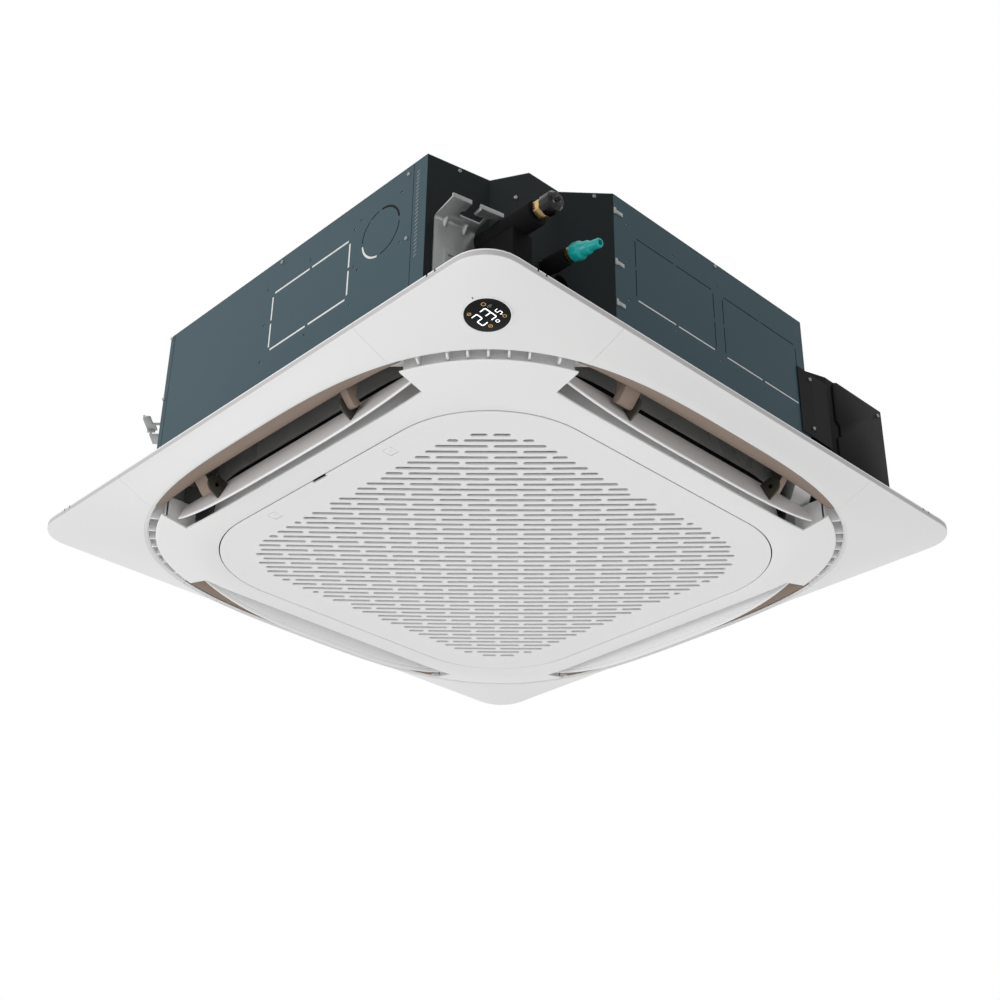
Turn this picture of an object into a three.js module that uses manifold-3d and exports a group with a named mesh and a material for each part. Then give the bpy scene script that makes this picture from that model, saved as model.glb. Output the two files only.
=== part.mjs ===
// Ceiling cassette air conditioner: a square body that hides above a false ceiling, and a square
// panel below it with an intake grille in the middle and a swinging louvre along each side.
//
// Millimetres, +Z up. The origin is the panel's centre on the ceiling plane, so the body is above
// z = 0 and the panel below it. "Front" is -Y, "right" +X, "back" +Y and "left" -X. The side with
// the pipe recess is the front right corner.
import * as THREE from 'three';
import { mergeGeometries, mergeVertices } from 'three/addons/utils/BufferGeometryUtils.js';
import Module from 'manifold-3d';

const wasm = await Module();
wasm.setup();

// ---------------------------------------------------------------- driving dimensions
const GAP = 0.3;                       // seat gap between two pieces that touch
const FIT = 0.6;                       // radial gap round a pipe or pin that passes through
const OVER = 1;                        // how far a cutting tool runs past what it cuts

const RIM_HALF = 475;                  // panel: 950 mm square
const RIM_CORNER = 50;
const RIM_HEIGHT = 9;
const BASE_THICK = 3;                  // the frame's flat backing ring
const SKIN = 3;                        // wall of the panel mouldings
const SQUARENESS = 3.2;                // power of the squircle |x|^n + |y|^n = a^n
const PANEL_BAND = 33;                 // from the rim to the outlet opening
const OPENING_REACH = RIM_HALF - PANEL_BAND;  // squircle edge of the outlet opening
const OPENING_DROP = 31;
const LIP_STEP = 1.9;
const STEP_REACH = OPENING_REACH - LIP_STEP;
const LIP_REACH = STEP_REACH - 1.8;    // inner step of that edge
const LIP_THICK = 1.6;
const BASE_REACH = OPENING_REACH + 4;
const COVER_LENGTH = 225;
const COVER_SEAM = RIM_HALF - COVER_LENGTH;   // corner covers start here on both sides
const DISPLAY_RADIUS = 28.5;
const DISPLAY_INSET = 80;              // from both rims to the display's centre
const DISPLAY_DIAGONAL = (RIM_HALF - DISPLAY_INSET) * Math.SQRT2;
const DISPLAY_THICK = 3;

const MOUTH = 15;                      // gap between the outlet opening and the inner frame
const INNER_REACH = OPENING_REACH - MOUTH;    // squircle edge of the ring between slots and grille
const INNER_DROP = 36;
const INNER_SKIN = 2.5;
const SLOT_WIDTH = 65.6;
const LIP_DISTANCE = INNER_REACH - SLOT_WIDTH;  // straight inner lip of each outlet slot
const LIP_CORNER = 175;
const LIP_DROP = 46.2;
const INNER_BAND = 35.8;
const SEAM_HALF = LIP_DISTANCE - INNER_BAND;  // hole that the grille closes
const SEAM_CORNER = 155;
const SEAM_DROP = 48;
const SLOT_HALF_OUT = COVER_SEAM;      // half length of an outlet slot, and at its inner lip
const SLOT_HALF = SLOT_HALF_OUT - 3;
const SLOT_OUT_DISTANCE = INNER_REACH - 26;
const WELL_BORDER = 14.4;
const WELL_HALF = LIP_DISTANCE - WELL_BORDER; // intake well, and the drain pan above it
const WELL_CORNER = 200;
const WELL_WALL = 3;

const SEAM_GAP = 1.8;
const GRILLE_HALF = SEAM_HALF - SEAM_GAP;
const GRILLE_CORNER = SEAM_CORNER - SEAM_GAP;
const GRILLE_THICK = 2.5;
const GRILLE_DOME = 4;                 // the grille bulges this far in its middle
const PATTERN_BORDER = 52.2;
const PATTERN_HALF = GRILLE_HALF - PATTERN_BORDER;  // rounded square that the grille slots fill
const PATTERN_CORNER = 98;
const ROW_PITCH = 13.6;                // slot rows run along one diagonal
const ROW_COUNT = 51;
const GRILLE_SLOT = 68.7;
const GRILLE_BRIDGE = 6.2;
const GRILLE_SLOT_WIDTH = 6.4;
const GRILLE_SLOT_LEAST = 9;           // a slot clipped shorter than this is left out
const GRILLE_SKIRT_INSET = 2.5;
const GRILLE_SKIRT_HEIGHT = 9;
const GRILLE_SKIRT_WALL = 2;
const FINGER_NOTCH = [-13, 15, 4];     // from, to and depth of the gap for a finger
const LATCH_X = 121;
const LATCH_INSET = 21.8;
const LATCH_Y = -(GRILLE_HALF - LATCH_INSET);
const LATCH_SIZE = 16;
const LATCH_FLANGE = 20;
const LATCH_FLANGE_THICK = 2;
const HINGE_X = 140;
const HINGE_OUT = 8.4;                 // from the grille's seam out to the pin, over the inner frame
const HINGE_Y = SEAM_HALF + HINGE_OUT;
const HINGE_Z = -41.5;
const HINGE_PIN_RADIUS = 1.7;
const HINGE_BORE_RADIUS = 2.1;
const HINGE_BARREL_RADIUS = 3.1;
const HINGE_ARM_WIDTH = 4;
const HINGE_LUG_GAP = 2;
const HINGE_LUG_WIDTH = 3;
const HINGE_LUG_LOW = 9;               // a lug's bridge over the seam, above the pin
const HINGE_LUG_HIGH = 12.5;
const HINGE_LEG = [14, 11.3];          // the lug's leg on the grille, inwards from the pin
const FILTER_BORDER_OUT = 33.8;
const FILTER_HALF = GRILLE_HALF - FILTER_BORDER_OUT;
const FILTER_CORNER = 120;
const FILTER_BORDER = 12;
const FILTER_HEIGHT = 6;
const FILTER_NET = 0.8;
const FILTER_RIB = 3;

const PIVOT_DISTANCE = INNER_REACH - 38;      // louvre pivot, from the centre and below the ceiling
const PIVOT_DROP = 28;
const LOUVRE_REACH = INNER_REACH - 11; // squircle edge of the louvre when it is closed flat
const LOUVRE_INNER = 26.5;             // pivot to the louvre's inner edge
const LOUVRE_BACK = 12.2;              // pivot to the louvre's back face
const LOUVRE_THICK = 3.5;
const LOUVRE_HALF = SLOT_HALF - 2;
const LOUVRE_HALF_OUT = SLOT_HALF_OUT - 2.5;
const LOUVRE_OPEN = 65.4;              // degrees below level, as modelled
const EAR_X = 138.5;
const EAR_THICK = 3;
const EAR_RADIUS = 14;
const PIN_RADIUS = 3;
const PIN_LENGTH = 7;
const BRACKET_GAP = 1.2;               // ear to bracket
const BRACKET_WIDE = 26;               // the driven end's bracket holds the gearing
const BRACKET_SLIM = 12;
const NOSE_RADIUS = 6.5;

const DUCT_WIDTH = 40;
const DUCT_DISTANCE = WELL_HALF + DUCT_WIDTH; // outer wall of the air duct
const DUCT_TOP = 24;                   // where the flare starts
const LINING = 2.5;
const LINING_UPPER_HALF = SLOT_HALF_OUT - 60; // the part inside the body is this much shorter
const MOTOR_RADIUS = 10.5;             // louvre stepper motor
const MOTOR_LENGTH = 18;
const MOTOR_INSET = 7;                 // from the flare's centre, towards the duct

const CHANNEL_OUTER = LIP_REACH + 1.1; // corner duct: an upturned channel under the base ring
const CHANNEL_FLANGE = BASE_REACH + 6;
const CHANNEL_INNER = INNER_REACH - 7.5;
const CHANNEL_WALL = 2.4;
const CHANNEL_FOOT = -34;
const END_WALL_FOOT = -42.6;
const CHANNEL_START = 31.7;            // degrees round the panel, from the nearest side's middle
const END_WALL_HEEL = 2;
const FIN_ANGLES = [-10.06, -5.73, -2.865, 0, 2.865, 5.73, 10.06];
const FIN_THICK = 2.2;
const FIN_BOTTOM = -30;

const BODY_HALF = 420;                 // body: 840 mm square
const BODY_TOP = 257;
const SHEET = 1.2;
const CHAMFER_START = 256;             // left corners are cut from here
const RIGHT_CHAMFER = [[420, 200], [228, 420]];
const RECESS = [[308, -420], [326, -330], [372, -305], [373, -252], [420, -200]];
const KNOCKOUT_DEPTH = 0.5;
const KNOCKOUT_LINE = 1.6;
const FRONT_KNOCKOUT = [-3, 159.5, 110, 203]; // x from, x to, z from, z to
const FRONT_ROUND = [221, 182, 37];           // x, z and radius of the fresh-air knock-out
const RIGHT_KNOCKOUTS = [[-160, -2, 109, 207], [18, 181, 109, 207]];
const TOP_RIB = 4.5;
const TOP_RING = [180, 184, 196, 200]; // foot, crown, crown and foot of the pressed ring
const TOP_RIB_END = 330;
const TOP_RIB_WIDTH = 16;
const FOAM_TOP = 18;
const FOAM_FOOT = 1;
const FOAM_STEP = 26.3;
const FOAM_STEP_OUT = 3.5;
const FOAM_FOOT_OUT = 12;
const FOAM_CHAMFER = { left: 640, frontRight: 592, backRight: 587 };

const PAN_FOOT = 16;
const PAN_TOP = 64;
const PAN_HOLE = 240;
const TROUGH_FLOOR = 51.7;
const COIL_INSET = 22;
const COIL_HALF = WELL_HALF - COIL_INSET;
const COIL_CORNER = 160;
const COIL_THICK = 38;
const COIL_END = 214;                  // the coil stops short of the recess corner here
const TROUGH_MARGIN = 6;
const BELL_THROAT = 197;
const BELL_FLARE = 236;
const BELL_TOP = 84;
const BELL_PLATE = 4.7;
const BELL_WALL = 2.5;

const FAN_RADIUS = 236;
const FAN_TOP = 214;
const FAN_MOUTH = 205;
const FAN_MOUTH_Z = 78;
const FAN_SHROUD_Z = 110;
const FAN_WALL = 3;
const FAN_BLADES = 7;
const BLADE_ROOT = 128;
const BLADE_THICK = 4;
const BLADE_SWEEP = 46;                // degrees from root to tip
const HUB_RADIUS = 20;
const HUB_LOW = 134;
const HUB_HIGH = 150;
const SHAFT_RADIUS = 6;
const SHAFT_LOW = 118;
const FAN_MOTOR_RADIUS = 58;
const FAN_MOTOR_LOW = 160;
const FAN_MOTOR_HIGH = 232;
const MOTOR_FLANGE_RADIUS = 86;
const MOTOR_FLANGE_THICK = 4;
const POST_CIRCLE = 76;
const POST_RADIUS = 7;
const BRACKET_PLATE = 4;
const BRACKET_PLATE_RADIUS = 94;

const GAS = { y: -337, z: 147, pipe: 8, sleeve: 17, end: 420, nut: 13, nutLength: 11, cap: 14, capLength: 21 };
const LIQUID = { y: -275, z: 121, pipe: 4.8, sleeve: 12, end: 410, nut: 9.5, nutLength: 6, tilt: 11 };
const LIQUID_CAP = [[11.5, 0], [11.5, 15], [9, 19], [8.5, 30], [7, 33], [6.2, 34], [6.2, 52], [4, 54]];
const DRAIN = { y: -279, z: 80, radius: 14, wall: 2.5, end: 402 };
const SLEEVE_START = 266;
const LIQUID_SLEEVE_START = 334;
const PUMP = [277, -277];
const PUMP_RADIUS = 18;
const PUMP_STEM = 7;
const PUMP_LOW = 67;
const PUMP_TOP = 150;
const FLOAT_SPOT = [243, -298];
const FLOAT_RADIUS = 9;
const FLOAT_LOW = 68;
const FLOAT_HEIGHT = 14;
const FLOAT_TRAVEL = 8;
const STEM_RADIUS = 2.5;
const STOP_RADIUS = 5;

const HANGER_WIDTH = 56;
const HANGER_LEDGE = 46;
const HANGER_SHEET = 2.5;
const HANGER_TOP = 166;
const HANGER_FOOT = 62;
const HANGER_SLOT = 12;                // for an M10 rod
const HANGER_SLOT_OUT = 25;
const HANGER_SLOT_LENGTH = 32;
const HANGER_TAB = [34, 20];           // where the finger beside the slot starts, and its length

const BOX_TOP = 187;
const BOX_FOOT = 6;
const BOX_PLAN = [[409, 214], [420, 250], [420, 385], [325, 309]];
const BOX_LID = 2;
const BOX_FOLD = 8;
const BOX_FLANGE = [180, 214, 64, 172];

const FINE_STEPS = 6;                  // facets from the middle of a side to its corner
const PLAIN_STEPS = 4;                 // the same on pieces inside

// ---------------------------------------------------------------- finishes
const finish = (color, roughness, metalness = 0) =>
  () => new THREE.MeshStandardMaterial({ color, roughness, metalness });
const WHITE = finish(0xe9e9e7, 0.5);
const GRILLE_WHITE = finish(0xdfe0df, 0.5);
const TAN = finish(0x8f7d70, 0.95);
const STEEL = finish(0x4d5c63, 0.55, 0.35);
const ZINC = finish(0x8d9290, 0.42, 0.8);
const FOAM = finish(0xd9dadb, 0.9);
const PAN_GREY = finish(0x3b3b3a, 0.35);
const FIN_ALUMINIUM = finish(0xb7babd, 0.4, 0.85);
const COPPER = finish(0xb4704a, 0.35, 0.95);
const BRASS = finish(0xb08a3c, 0.3, 0.9);
const BLACK = finish(0x101112, 0.6);
const RUBBER = finish(0x17181a, 0.85);
const TEAL = finish(0x1fa39a, 0.4);
const OLIVE = finish(0x2f2e27, 0.5);
const FAN_GREY = finish(0x5b5f62, 0.55);
const LENS = finish(0x050506, 0.08);
const NET = finish(0x7d8082, 0.85);

// ---------------------------------------------------------------- solids
/** Merge equal points and drop collapsed triangles, so that the mesh is closed. */
function tidy(source) {
  const bare = source.clone();
  bare.deleteAttribute('normal');
  bare.deleteAttribute('uv');
  const merged = mergeVertices(bare, 1e-4);
  const old = merged.index.array;
  const kept = [];
  for (let i = 0; i < old.length; i += 3) {
    const [a, b, c] = [old[i], old[i + 1], old[i + 2]];
    if (a !== b && b !== c && c !== a) kept.push(a, b, c);
  }
  merged.setIndex(kept);
  return signedVolume(merged) < 0 ? turnedOut(merged) : merged;
}

function signedVolume(geometry) {
  const points = geometry.attributes.position;
  const index = geometry.index.array;
  const [a, b, c] = [new THREE.Vector3(), new THREE.Vector3(), new THREE.Vector3()];
  let six = 0;
  for (let i = 0; i < index.length; i += 3) {
    a.fromBufferAttribute(points, index[i]);
    b.fromBufferAttribute(points, index[i + 1]);
    c.fromBufferAttribute(points, index[i + 2]);
    six += a.dot(b.cross(c));
  }
  return six / 6;
}

function turnedOut(geometry) {
  const index = geometry.index.array;
  for (let i = 0; i < index.length; i += 3) {
    [index[i + 1], index[i + 2]] = [index[i + 2], index[i + 1]];
  }
  return geometry;
}

function toSolid(geometry) {
  const ready = tidy(geometry);
  return new wasm.Manifold(new wasm.Mesh({
    numProp: 3,
    vertProperties: new Float32Array(ready.attributes.position.array),
    triVerts: new Uint32Array(ready.index.array),
  }));
}

function toGeometry(body) {
  const mesh = body.getMesh();
  const geometry = new THREE.BufferGeometry();
  geometry.setAttribute('position', new THREE.Float32BufferAttribute(mesh.vertProperties, 3));
  geometry.setIndex([...mesh.triVerts]);
  return geometry;
}

const cut = (base, ...tools) =>
  toGeometry(tools.reduce((body, tool) => body.subtract(toSolid(tool)), toSolid(base)));
const join = (...pieces) =>
  toGeometry(pieces.map(toSolid).reduce((body, piece) => body.add(piece)));
const common = (a, b) => toGeometry(toSolid(a).intersect(toSolid(b)));

/** A box between two corners. */
function block(x0, x1, y0, y1, z0, z1) {
  const geometry = new THREE.BoxGeometry(x1 - x0, y1 - y0, z1 - z0);
  return geometry.translate((x0 + x1) / 2, (y0 + y1) / 2, (z0 + z1) / 2);
}

/** An upright prism over a plan outline, with holes. */
function prism(outline, z0, z1, holes = []) {
  const toPoint = ([x, y]) => new THREE.Vector2(x, y);
  const shape = new THREE.Shape(outline.map(toPoint));
  shape.holes = holes.map((hole) => new THREE.Path(hole.map(toPoint)));
  const geometry = new THREE.ExtrudeGeometry(shape, { depth: z1 - z0, bevelEnabled: false });
  return geometry.translate(0, 0, z0);
}

/** A prism along X over an outline in Y and Z. */
function crossPrism(outline, x0, x1) {
  const lie = new THREE.Matrix4().makeBasis(
    new THREE.Vector3(0, 1, 0), new THREE.Vector3(0, 0, 1), new THREE.Vector3(1, 0, 0));
  return prism(outline, x0, x1).applyMatrix4(lie);
}

const rodZ = (radius, z0, z1, sides = 16, x = 0, y = 0) =>
  new THREE.CylinderGeometry(radius, radius, z1 - z0, sides)
    .rotateX(Math.PI / 2).translate(x, y, (z0 + z1) / 2);
const rodX = (radius, x0, x1, y, z, sides = 16) =>
  new THREE.CylinderGeometry(radius, radius, x1 - x0, sides)
    .rotateZ(Math.PI / 2).translate((x0 + x1) / 2, y, z);

/** A turned piece: the profile is [radius, z] and closes on itself or on the axis. */
function turned(profile, sides) {
  const points = profile.map(([r, z]) => new THREE.Vector2(r, z));
  return new THREE.LatheGeometry(points, sides).rotateX(Math.PI / 2);
}

const closedTurn = (profile, sides) => turned([...profile, profile[0]], sides);

/** Join rings of matching points into a solid, round a loop or with flat ends. */
function loft(rings, looped) {
  const count = rings[0].length;
  const index = [];
  const spans = looped ? rings.length : rings.length - 1;
  for (let i = 0; i < spans; i += 1) {
    const near = i * count;
    const far = ((i + 1) % rings.length) * count;
    for (let j = 0; j < count; j += 1) {
      const k = (j + 1) % count;
      index.push(near + j, near + k, far + k, near + j, far + k, far + j);
    }
  }
  if (!looped) {
    index.push(...capFaces(rings[0], 0, true));
    index.push(...capFaces(rings.at(-1), (rings.length - 1) * count, false));
  }
  const geometry = new THREE.BufferGeometry();
  const position = rings.flat().flatMap((point) => point.toArray());
  geometry.setAttribute('position', new THREE.Float32BufferAttribute(position, 3));
  geometry.setIndex(index);
  return tidy(geometry);
}

/** Triangles over a flat ring of points, wound with the ring or against it. */
function capFaces(ring, first, against) {
  const normal = new THREE.Vector3();
  ring.forEach((point, i) => normal.add(point.clone().cross(ring[(i + 1) % ring.length])));
  normal.normalize();
  const across = ring[1].clone().sub(ring[0]).normalize();
  const up = normal.clone().cross(across);
  const flat = ring.map((point) => new THREE.Vector2(point.dot(across), point.dot(up)));
  return THREE.ShapeUtils.triangulateShape(flat, []).flatMap(([a, b, c]) => {
    const edge = flat[b].clone().sub(flat[a]);
    const withRing = edge.cross(flat[c].clone().sub(flat[a])) > 0;
    return withRing === against ? [first + a, first + c, first + b] : [first + a, first + b, first + c];
  });
}

// ---------------------------------------------------------------- plan curves
const radians = THREE.MathUtils.degToRad;

/** Distance from the centre to a squircle of half width a, at an angle. */
function squircle(a, angle) {
  const c = Math.abs(Math.cos(angle)) ** SQUARENESS;
  const s = Math.abs(Math.sin(angle)) ** SQUARENESS;
  return a / (c + s) ** (1 / SQUARENESS);
}

/** How far out the same squircle lies, beside a place x along its side. */
const squircleSide = (a, x) => a * (1 - Math.abs(x / a) ** SQUARENESS) ** (1 / SQUARENESS);

/** Distance from the centre to a rounded square, at an angle. */
function roundedSquare(half, corner, angle) {
  const c = Math.abs(Math.cos(angle));
  const s = Math.abs(Math.sin(angle));
  const straight = half / Math.max(c, s);
  const middle = half - corner;
  if (straight * Math.min(c, s) <= middle) return straight;
  const along = middle * (c + s);
  return along + Math.sqrt(along ** 2 - 2 * middle ** 2 + corner ** 2);
}

/** Angles round the panel, closer together towards the corners. */
const ringAngles = (steps) => [0, 1, 2, 3].flatMap((side) =>
  Array.from({ length: 2 * steps }, (_, i) => {
    const step = i - steps;
    const share = 1 - (1 - Math.abs(step) / steps) ** 2;
    return radians(side * 90 + Math.sign(step) * 45 * share);
  }));
const FINE_ANGLES = ringAngles(FINE_STEPS);
const PLAIN_ANGLES = ringAngles(PLAIN_STEPS);

const at = (radius, angle, z) => new THREE.Vector3(radius * Math.cos(angle), radius * Math.sin(angle), z);
const onSquircle = (a, z) => (angle) => at(squircle(a, angle), angle, z);
const onSquare = (half, corner, z) => (angle) => at(roundedSquare(half, corner, angle), angle, z);

/** A ring whose section corners each follow a plan curve. */
const ringSolid = (corners) => loft(FINE_ANGLES.map((angle) => corners.map((corner) => corner(angle))), true);

/** The plan of a rounded square as a list of points. */
const squarePlan = (half, corner, angles = PLAIN_ANGLES) => angles.map((angle) => {
  const point = onSquare(half, corner, 0)(angle);
  return [point.x, point.y];
});

const squareRing = (half, corner, wall, z0, z1) =>
  prism(squarePlan(half, corner), z0, z1, [squarePlan(half - wall, corner - wall)]);

/** Move every edge of a plan outline inwards by a distance. */
function insetPlan(outline, distance) {
  const lines = outline.map(([x, y], i) => {
    const [u, v] = outline[(i + 1) % outline.length];
    const length = Math.hypot(u - x, v - y);
    const normal = [-(v - y) / length, (u - x) / length];
    return { normal, reach: normal[0] * x + normal[1] * y + distance };
  });
  return lines.map((line, i) => {
    const before = lines.at(i - 1);
    const [a, b] = before.normal;
    const [c, d] = line.normal;
    const turn = a * d - b * c;
    return [(before.reach * d - b * line.reach) / turn, (a * line.reach - before.reach * c) / turn];
  });
}

// ---------------------------------------------------------------- assembly helpers
const unit = new THREE.Group();

function add(name, geometry, material, parent = unit) {
  const mesh = new THREE.Mesh(tidy(geometry), material());
  mesh.name = name;
  parent.add(mesh);
  return mesh;
}

/** The four sides in turn; each is the front one turned by quarter turns. */
const SIDES = ['front', 'right', 'back', 'left'];
const CORNERS = ['front_right', 'back_right', 'back_left', 'front_left'];

function turnedGroup(quarterTurns) {
  const group = new THREE.Group();
  group.rotation.z = quarterTurns * Math.PI / 2;
  unit.add(group);
  return group;
}

// ---------------------------------------------------------------- panel frame and covers
/** Slope from the rim to the opening, with two thin steps at the opening's edge. */
function panelSkin() {
  const inside = RIM_HALF - SKIN;
  return ringSolid([
    onSquare(RIM_HALF, RIM_CORNER, 0),
    onSquare(RIM_HALF, RIM_CORNER, -RIM_HEIGHT),
    onSquircle(OPENING_REACH, -OPENING_DROP),
    onSquircle(STEP_REACH, -OPENING_DROP + LIP_THICK / 2),
    onSquircle(LIP_REACH, -OPENING_DROP + LIP_THICK),
    onSquircle(LIP_REACH, -OPENING_DROP + 2 * LIP_THICK),
    onSquircle(OPENING_REACH, -OPENING_DROP + 2 * LIP_THICK),
    onSquare(inside, RIM_CORNER - SKIN, -RIM_HEIGHT + SKIN),
    onSquare(inside, RIM_CORNER - SKIN, 0),
  ]);
}

const baseRing = () => ringSolid([
  onSquare(RIM_HALF, RIM_CORNER, 0),
  onSquare(RIM_HALF, RIM_CORNER, -BASE_THICK),
  onSquircle(BASE_REACH, -BASE_THICK),
  onSquircle(BASE_REACH, 0),
]);

/** The quarter of space that one corner cover fills. */
function coverZone(gap, top) {
  const far = RIM_HALF + OVER;
  return block(COVER_SEAM + gap, far, -far, -COVER_SEAM - gap, -OPENING_DROP - OVER, top);
}

function displayFrame() {
  const direction = radians(-45);
  const rim = onSquare(RIM_HALF, RIM_CORNER, -RIM_HEIGHT)(direction);
  const edge = onSquircle(OPENING_REACH, -OPENING_DROP)(direction);
  const rimDistance = Math.hypot(rim.x, rim.y);
  const slope = (rim.z - edge.z) / (rimDistance - Math.hypot(edge.x, edge.y));
  const z = rim.z - slope * (rimDistance - DISPLAY_DIAGONAL);
  const outward = new THREE.Vector3(Math.cos(direction), Math.sin(direction), slope).normalize();
  const sideways = new THREE.Vector3(-Math.sin(direction), Math.cos(direction), 0);
  const frame = new THREE.Matrix4().makeBasis(outward, sideways, outward.clone().cross(sideways));
  return frame.setPosition(at(DISPLAY_DIAGONAL, direction, z));
}

function addPanelFrame() {
  const skin = panelSkin();
  const zone = coverZone(-GAP, -BASE_THICK);
  const zones = CORNERS.map((_, i) => zone.clone().rotateZ(i * Math.PI / 2));
  add('panel_frame', join(cut(skin, ...zones), baseRing()), WHITE);
  const cover = common(skin, coverZone(GAP, -BASE_THICK - GAP));
  const window = rodZ(DISPLAY_RADIUS + GAP, -2 * SKIN, 2 * SKIN, 24).applyMatrix4(displayFrame());
  CORNERS.forEach((corner, i) => {
    const shape = i === 0 ? cut(cover, window) : cover;
    add(`corner_cover_${corner}`, shape, WHITE, turnedGroup(i));
  });
  const lens = rodZ(DISPLAY_RADIUS, 0, DISPLAY_THICK, 24).applyMatrix4(displayFrame());
  add('display_lens', lens, LENS);
}

// ---------------------------------------------------------------- inner frame
function outletSlotPlan(quarterTurns) {
  const far = BASE_REACH;
  const slant = (SLOT_HALF_OUT - SLOT_HALF) / (SLOT_OUT_DISTANCE - LIP_DISTANCE);
  const halfFar = SLOT_HALF + slant * (far - LIP_DISTANCE);
  const plan = [[-SLOT_HALF, -LIP_DISTANCE], [-halfFar, -far], [halfFar, -far], [SLOT_HALF, -LIP_DISTANCE]];
  return prism(plan, -SEAM_DROP - OVER, -INNER_DROP + 2 * INNER_SKIN).rotateZ(quarterTurns * Math.PI / 2);
}

/** An ear that stands on the inner frame, just outside the seam, and holds the grille's pin. */
function hingeEar(x) {
  const [from, to] = [x - HINGE_ARM_WIDTH / 2, x + HINGE_ARM_WIDTH / 2];
  const barrel = rodX(HINGE_BARREL_RADIUS, from, to, HINGE_Y, HINGE_Z);
  const foot = -SEAM_DROP + INNER_SKIN / 2;
  const stand = block(from, to, HINGE_Y - HINGE_BARREL_RADIUS, HINGE_Y + HINGE_BARREL_RADIUS, foot, HINGE_Z);
  const bore = rodX(HINGE_BORE_RADIUS, from - OVER, to + OVER, HINGE_Y, HINGE_Z, 12);
  return cut(join(barrel, stand), bore);
}

function addInnerFrame() {
  const skin = ringSolid([
    onSquare(SEAM_HALF, SEAM_CORNER, -SEAM_DROP),
    onSquare(LIP_DISTANCE, LIP_CORNER, -LIP_DROP),
    onSquircle(INNER_REACH, -INNER_DROP),
    onSquircle(INNER_REACH, -INNER_DROP + INNER_SKIN),
    onSquare(LIP_DISTANCE, LIP_CORNER, -LIP_DROP + INNER_SKIN),
    onSquare(SEAM_HALF, SEAM_CORNER, -SEAM_DROP + INNER_SKIN),
  ]);
  const well = squareRing(WELL_HALF, WELL_CORNER, WELL_WALL, -LIP_DROP + OVER, PAN_FOOT - GAP);
  const slots = SIDES.map((_, i) => outletSlotPlan(i));
  const body = cut(join(skin, well), ...slots);
  add('inner_frame', join(body, hingeEar(-HINGE_X), hingeEar(HINGE_X)), WHITE);
}

// ---------------------------------------------------------------- corner ducts
/** A channel that leads air round the front right corner, with fins across its mouth. */
function cornerDuct() {
  const section = [
    [CHANNEL_OUTER, -OPENING_DROP + 2 * LIP_THICK + GAP],
    [CHANNEL_OUTER, -BASE_THICK - GAP - CHANNEL_WALL],
    [CHANNEL_FLANGE, -BASE_THICK - GAP - CHANNEL_WALL],
    [CHANNEL_FLANGE, -BASE_THICK - GAP],
    [CHANNEL_INNER, -BASE_THICK - GAP],
    [CHANNEL_INNER, CHANNEL_FOOT],
    [CHANNEL_INNER + CHANNEL_WALL, CHANNEL_FOOT],
    [CHANNEL_INNER + CHANNEL_WALL, -BASE_THICK - GAP - CHANNEL_WALL],
    [CHANNEL_OUTER - CHANNEL_WALL, -BASE_THICK - GAP - CHANNEL_WALL],
    [CHANNEL_OUTER - CHANNEL_WALL, -OPENING_DROP + 2 * LIP_THICK + GAP],
  ];
  const stations = 8;
  const rings = Array.from({ length: stations + 1 }, (_, i) => {
    const angle = radians(-90 + CHANNEL_START + (90 - 2 * CHANNEL_START) * i / stations);
    return section.map(([a, z]) => onSquircle(a, z)(angle));
  });
  const channel = loft(rings, false);
  const trimmed = common(channel, block(SLOT_HALF_OUT + GAP, RIM_HALF, -RIM_HALF, -SLOT_HALF_OUT - GAP,
    CHANNEL_FOOT - OVER, 0));
  return join(trimmed, ...FIN_ANGLES.map(cornerFin), endWall(), endWall().applyMatrix4(mirrorDiagonal()));
}

function cornerFin(offset) {
  const angle = radians(-45 + offset);
  const inner = squircle(CHANNEL_INNER + CHANNEL_WALL / 2, angle);
  const outer = squircle(LIP_REACH - OVER, angle);
  const top = -BASE_THICK - GAP - CHANNEL_WALL / 2;
  const fin = block(inner, outer, -FIN_THICK / 2, FIN_THICK / 2, FIN_BOTTOM, top);
  return fin.rotateZ(angle);
}

/** The wall that closes the end of the front outlet slot beside this corner. */
function endWall() {
  const roof = -BASE_THICK - GAP;
  const inner = squircleSide(CHANNEL_INNER, SLOT_HALF_OUT);
  const outer = squircleSide(CHANNEL_OUTER, SLOT_HALF_OUT) - CHANNEL_WALL;
  const outline = [
    [WELL_HALF + GAP, END_WALL_FOOT], [WELL_HALF + END_WALL_HEEL, END_WALL_FOOT], [inner, CHANNEL_FOOT],
    [inner + CHANNEL_WALL, CHANNEL_FOOT], [inner + CHANNEL_WALL, roof - CHANNEL_WALL],
    [outer, roof - CHANNEL_WALL], [outer, roof], [WELL_HALF + GAP, roof],
  ];
  const start = SLOT_HALF_OUT + GAP;
  return crossPrism(outline.map(([d, z]) => [-d, z]), start, start + CHANNEL_WALL);
}

/** Swap the front slot's side of the front right corner for the right slot's side. */
const mirrorDiagonal = () => new THREE.Matrix4().set(0, -1, 0, 0, -1, 0, 0, 0, 0, 0, 1, 0, 0, 0, 0, 1);

function addCornerDucts() {
  const duct = cornerDuct();
  CORNERS.forEach((corner, i) => add(`corner_duct_${corner}`, duct, WHITE, turnedGroup(i)));
}

// ---------------------------------------------------------------- outlets and louvres
/** A point on the flare that turns the air outwards, beside x; 0 is its top and 1 its lip. */
function flarePoint(x, share, inset = 0) {
  const lip = squircleSide(LIP_REACH, x) - GAP;
  const wide = lip - DUCT_DISTANCE - inset;
  const high = DUCT_TOP + OPENING_DROP - 2 * LIP_THICK - 2 * GAP - inset;
  const angle = share * Math.PI / 2;
  return [lip - wide * Math.cos(angle), DUCT_TOP - high * Math.sin(angle)];
}

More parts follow.
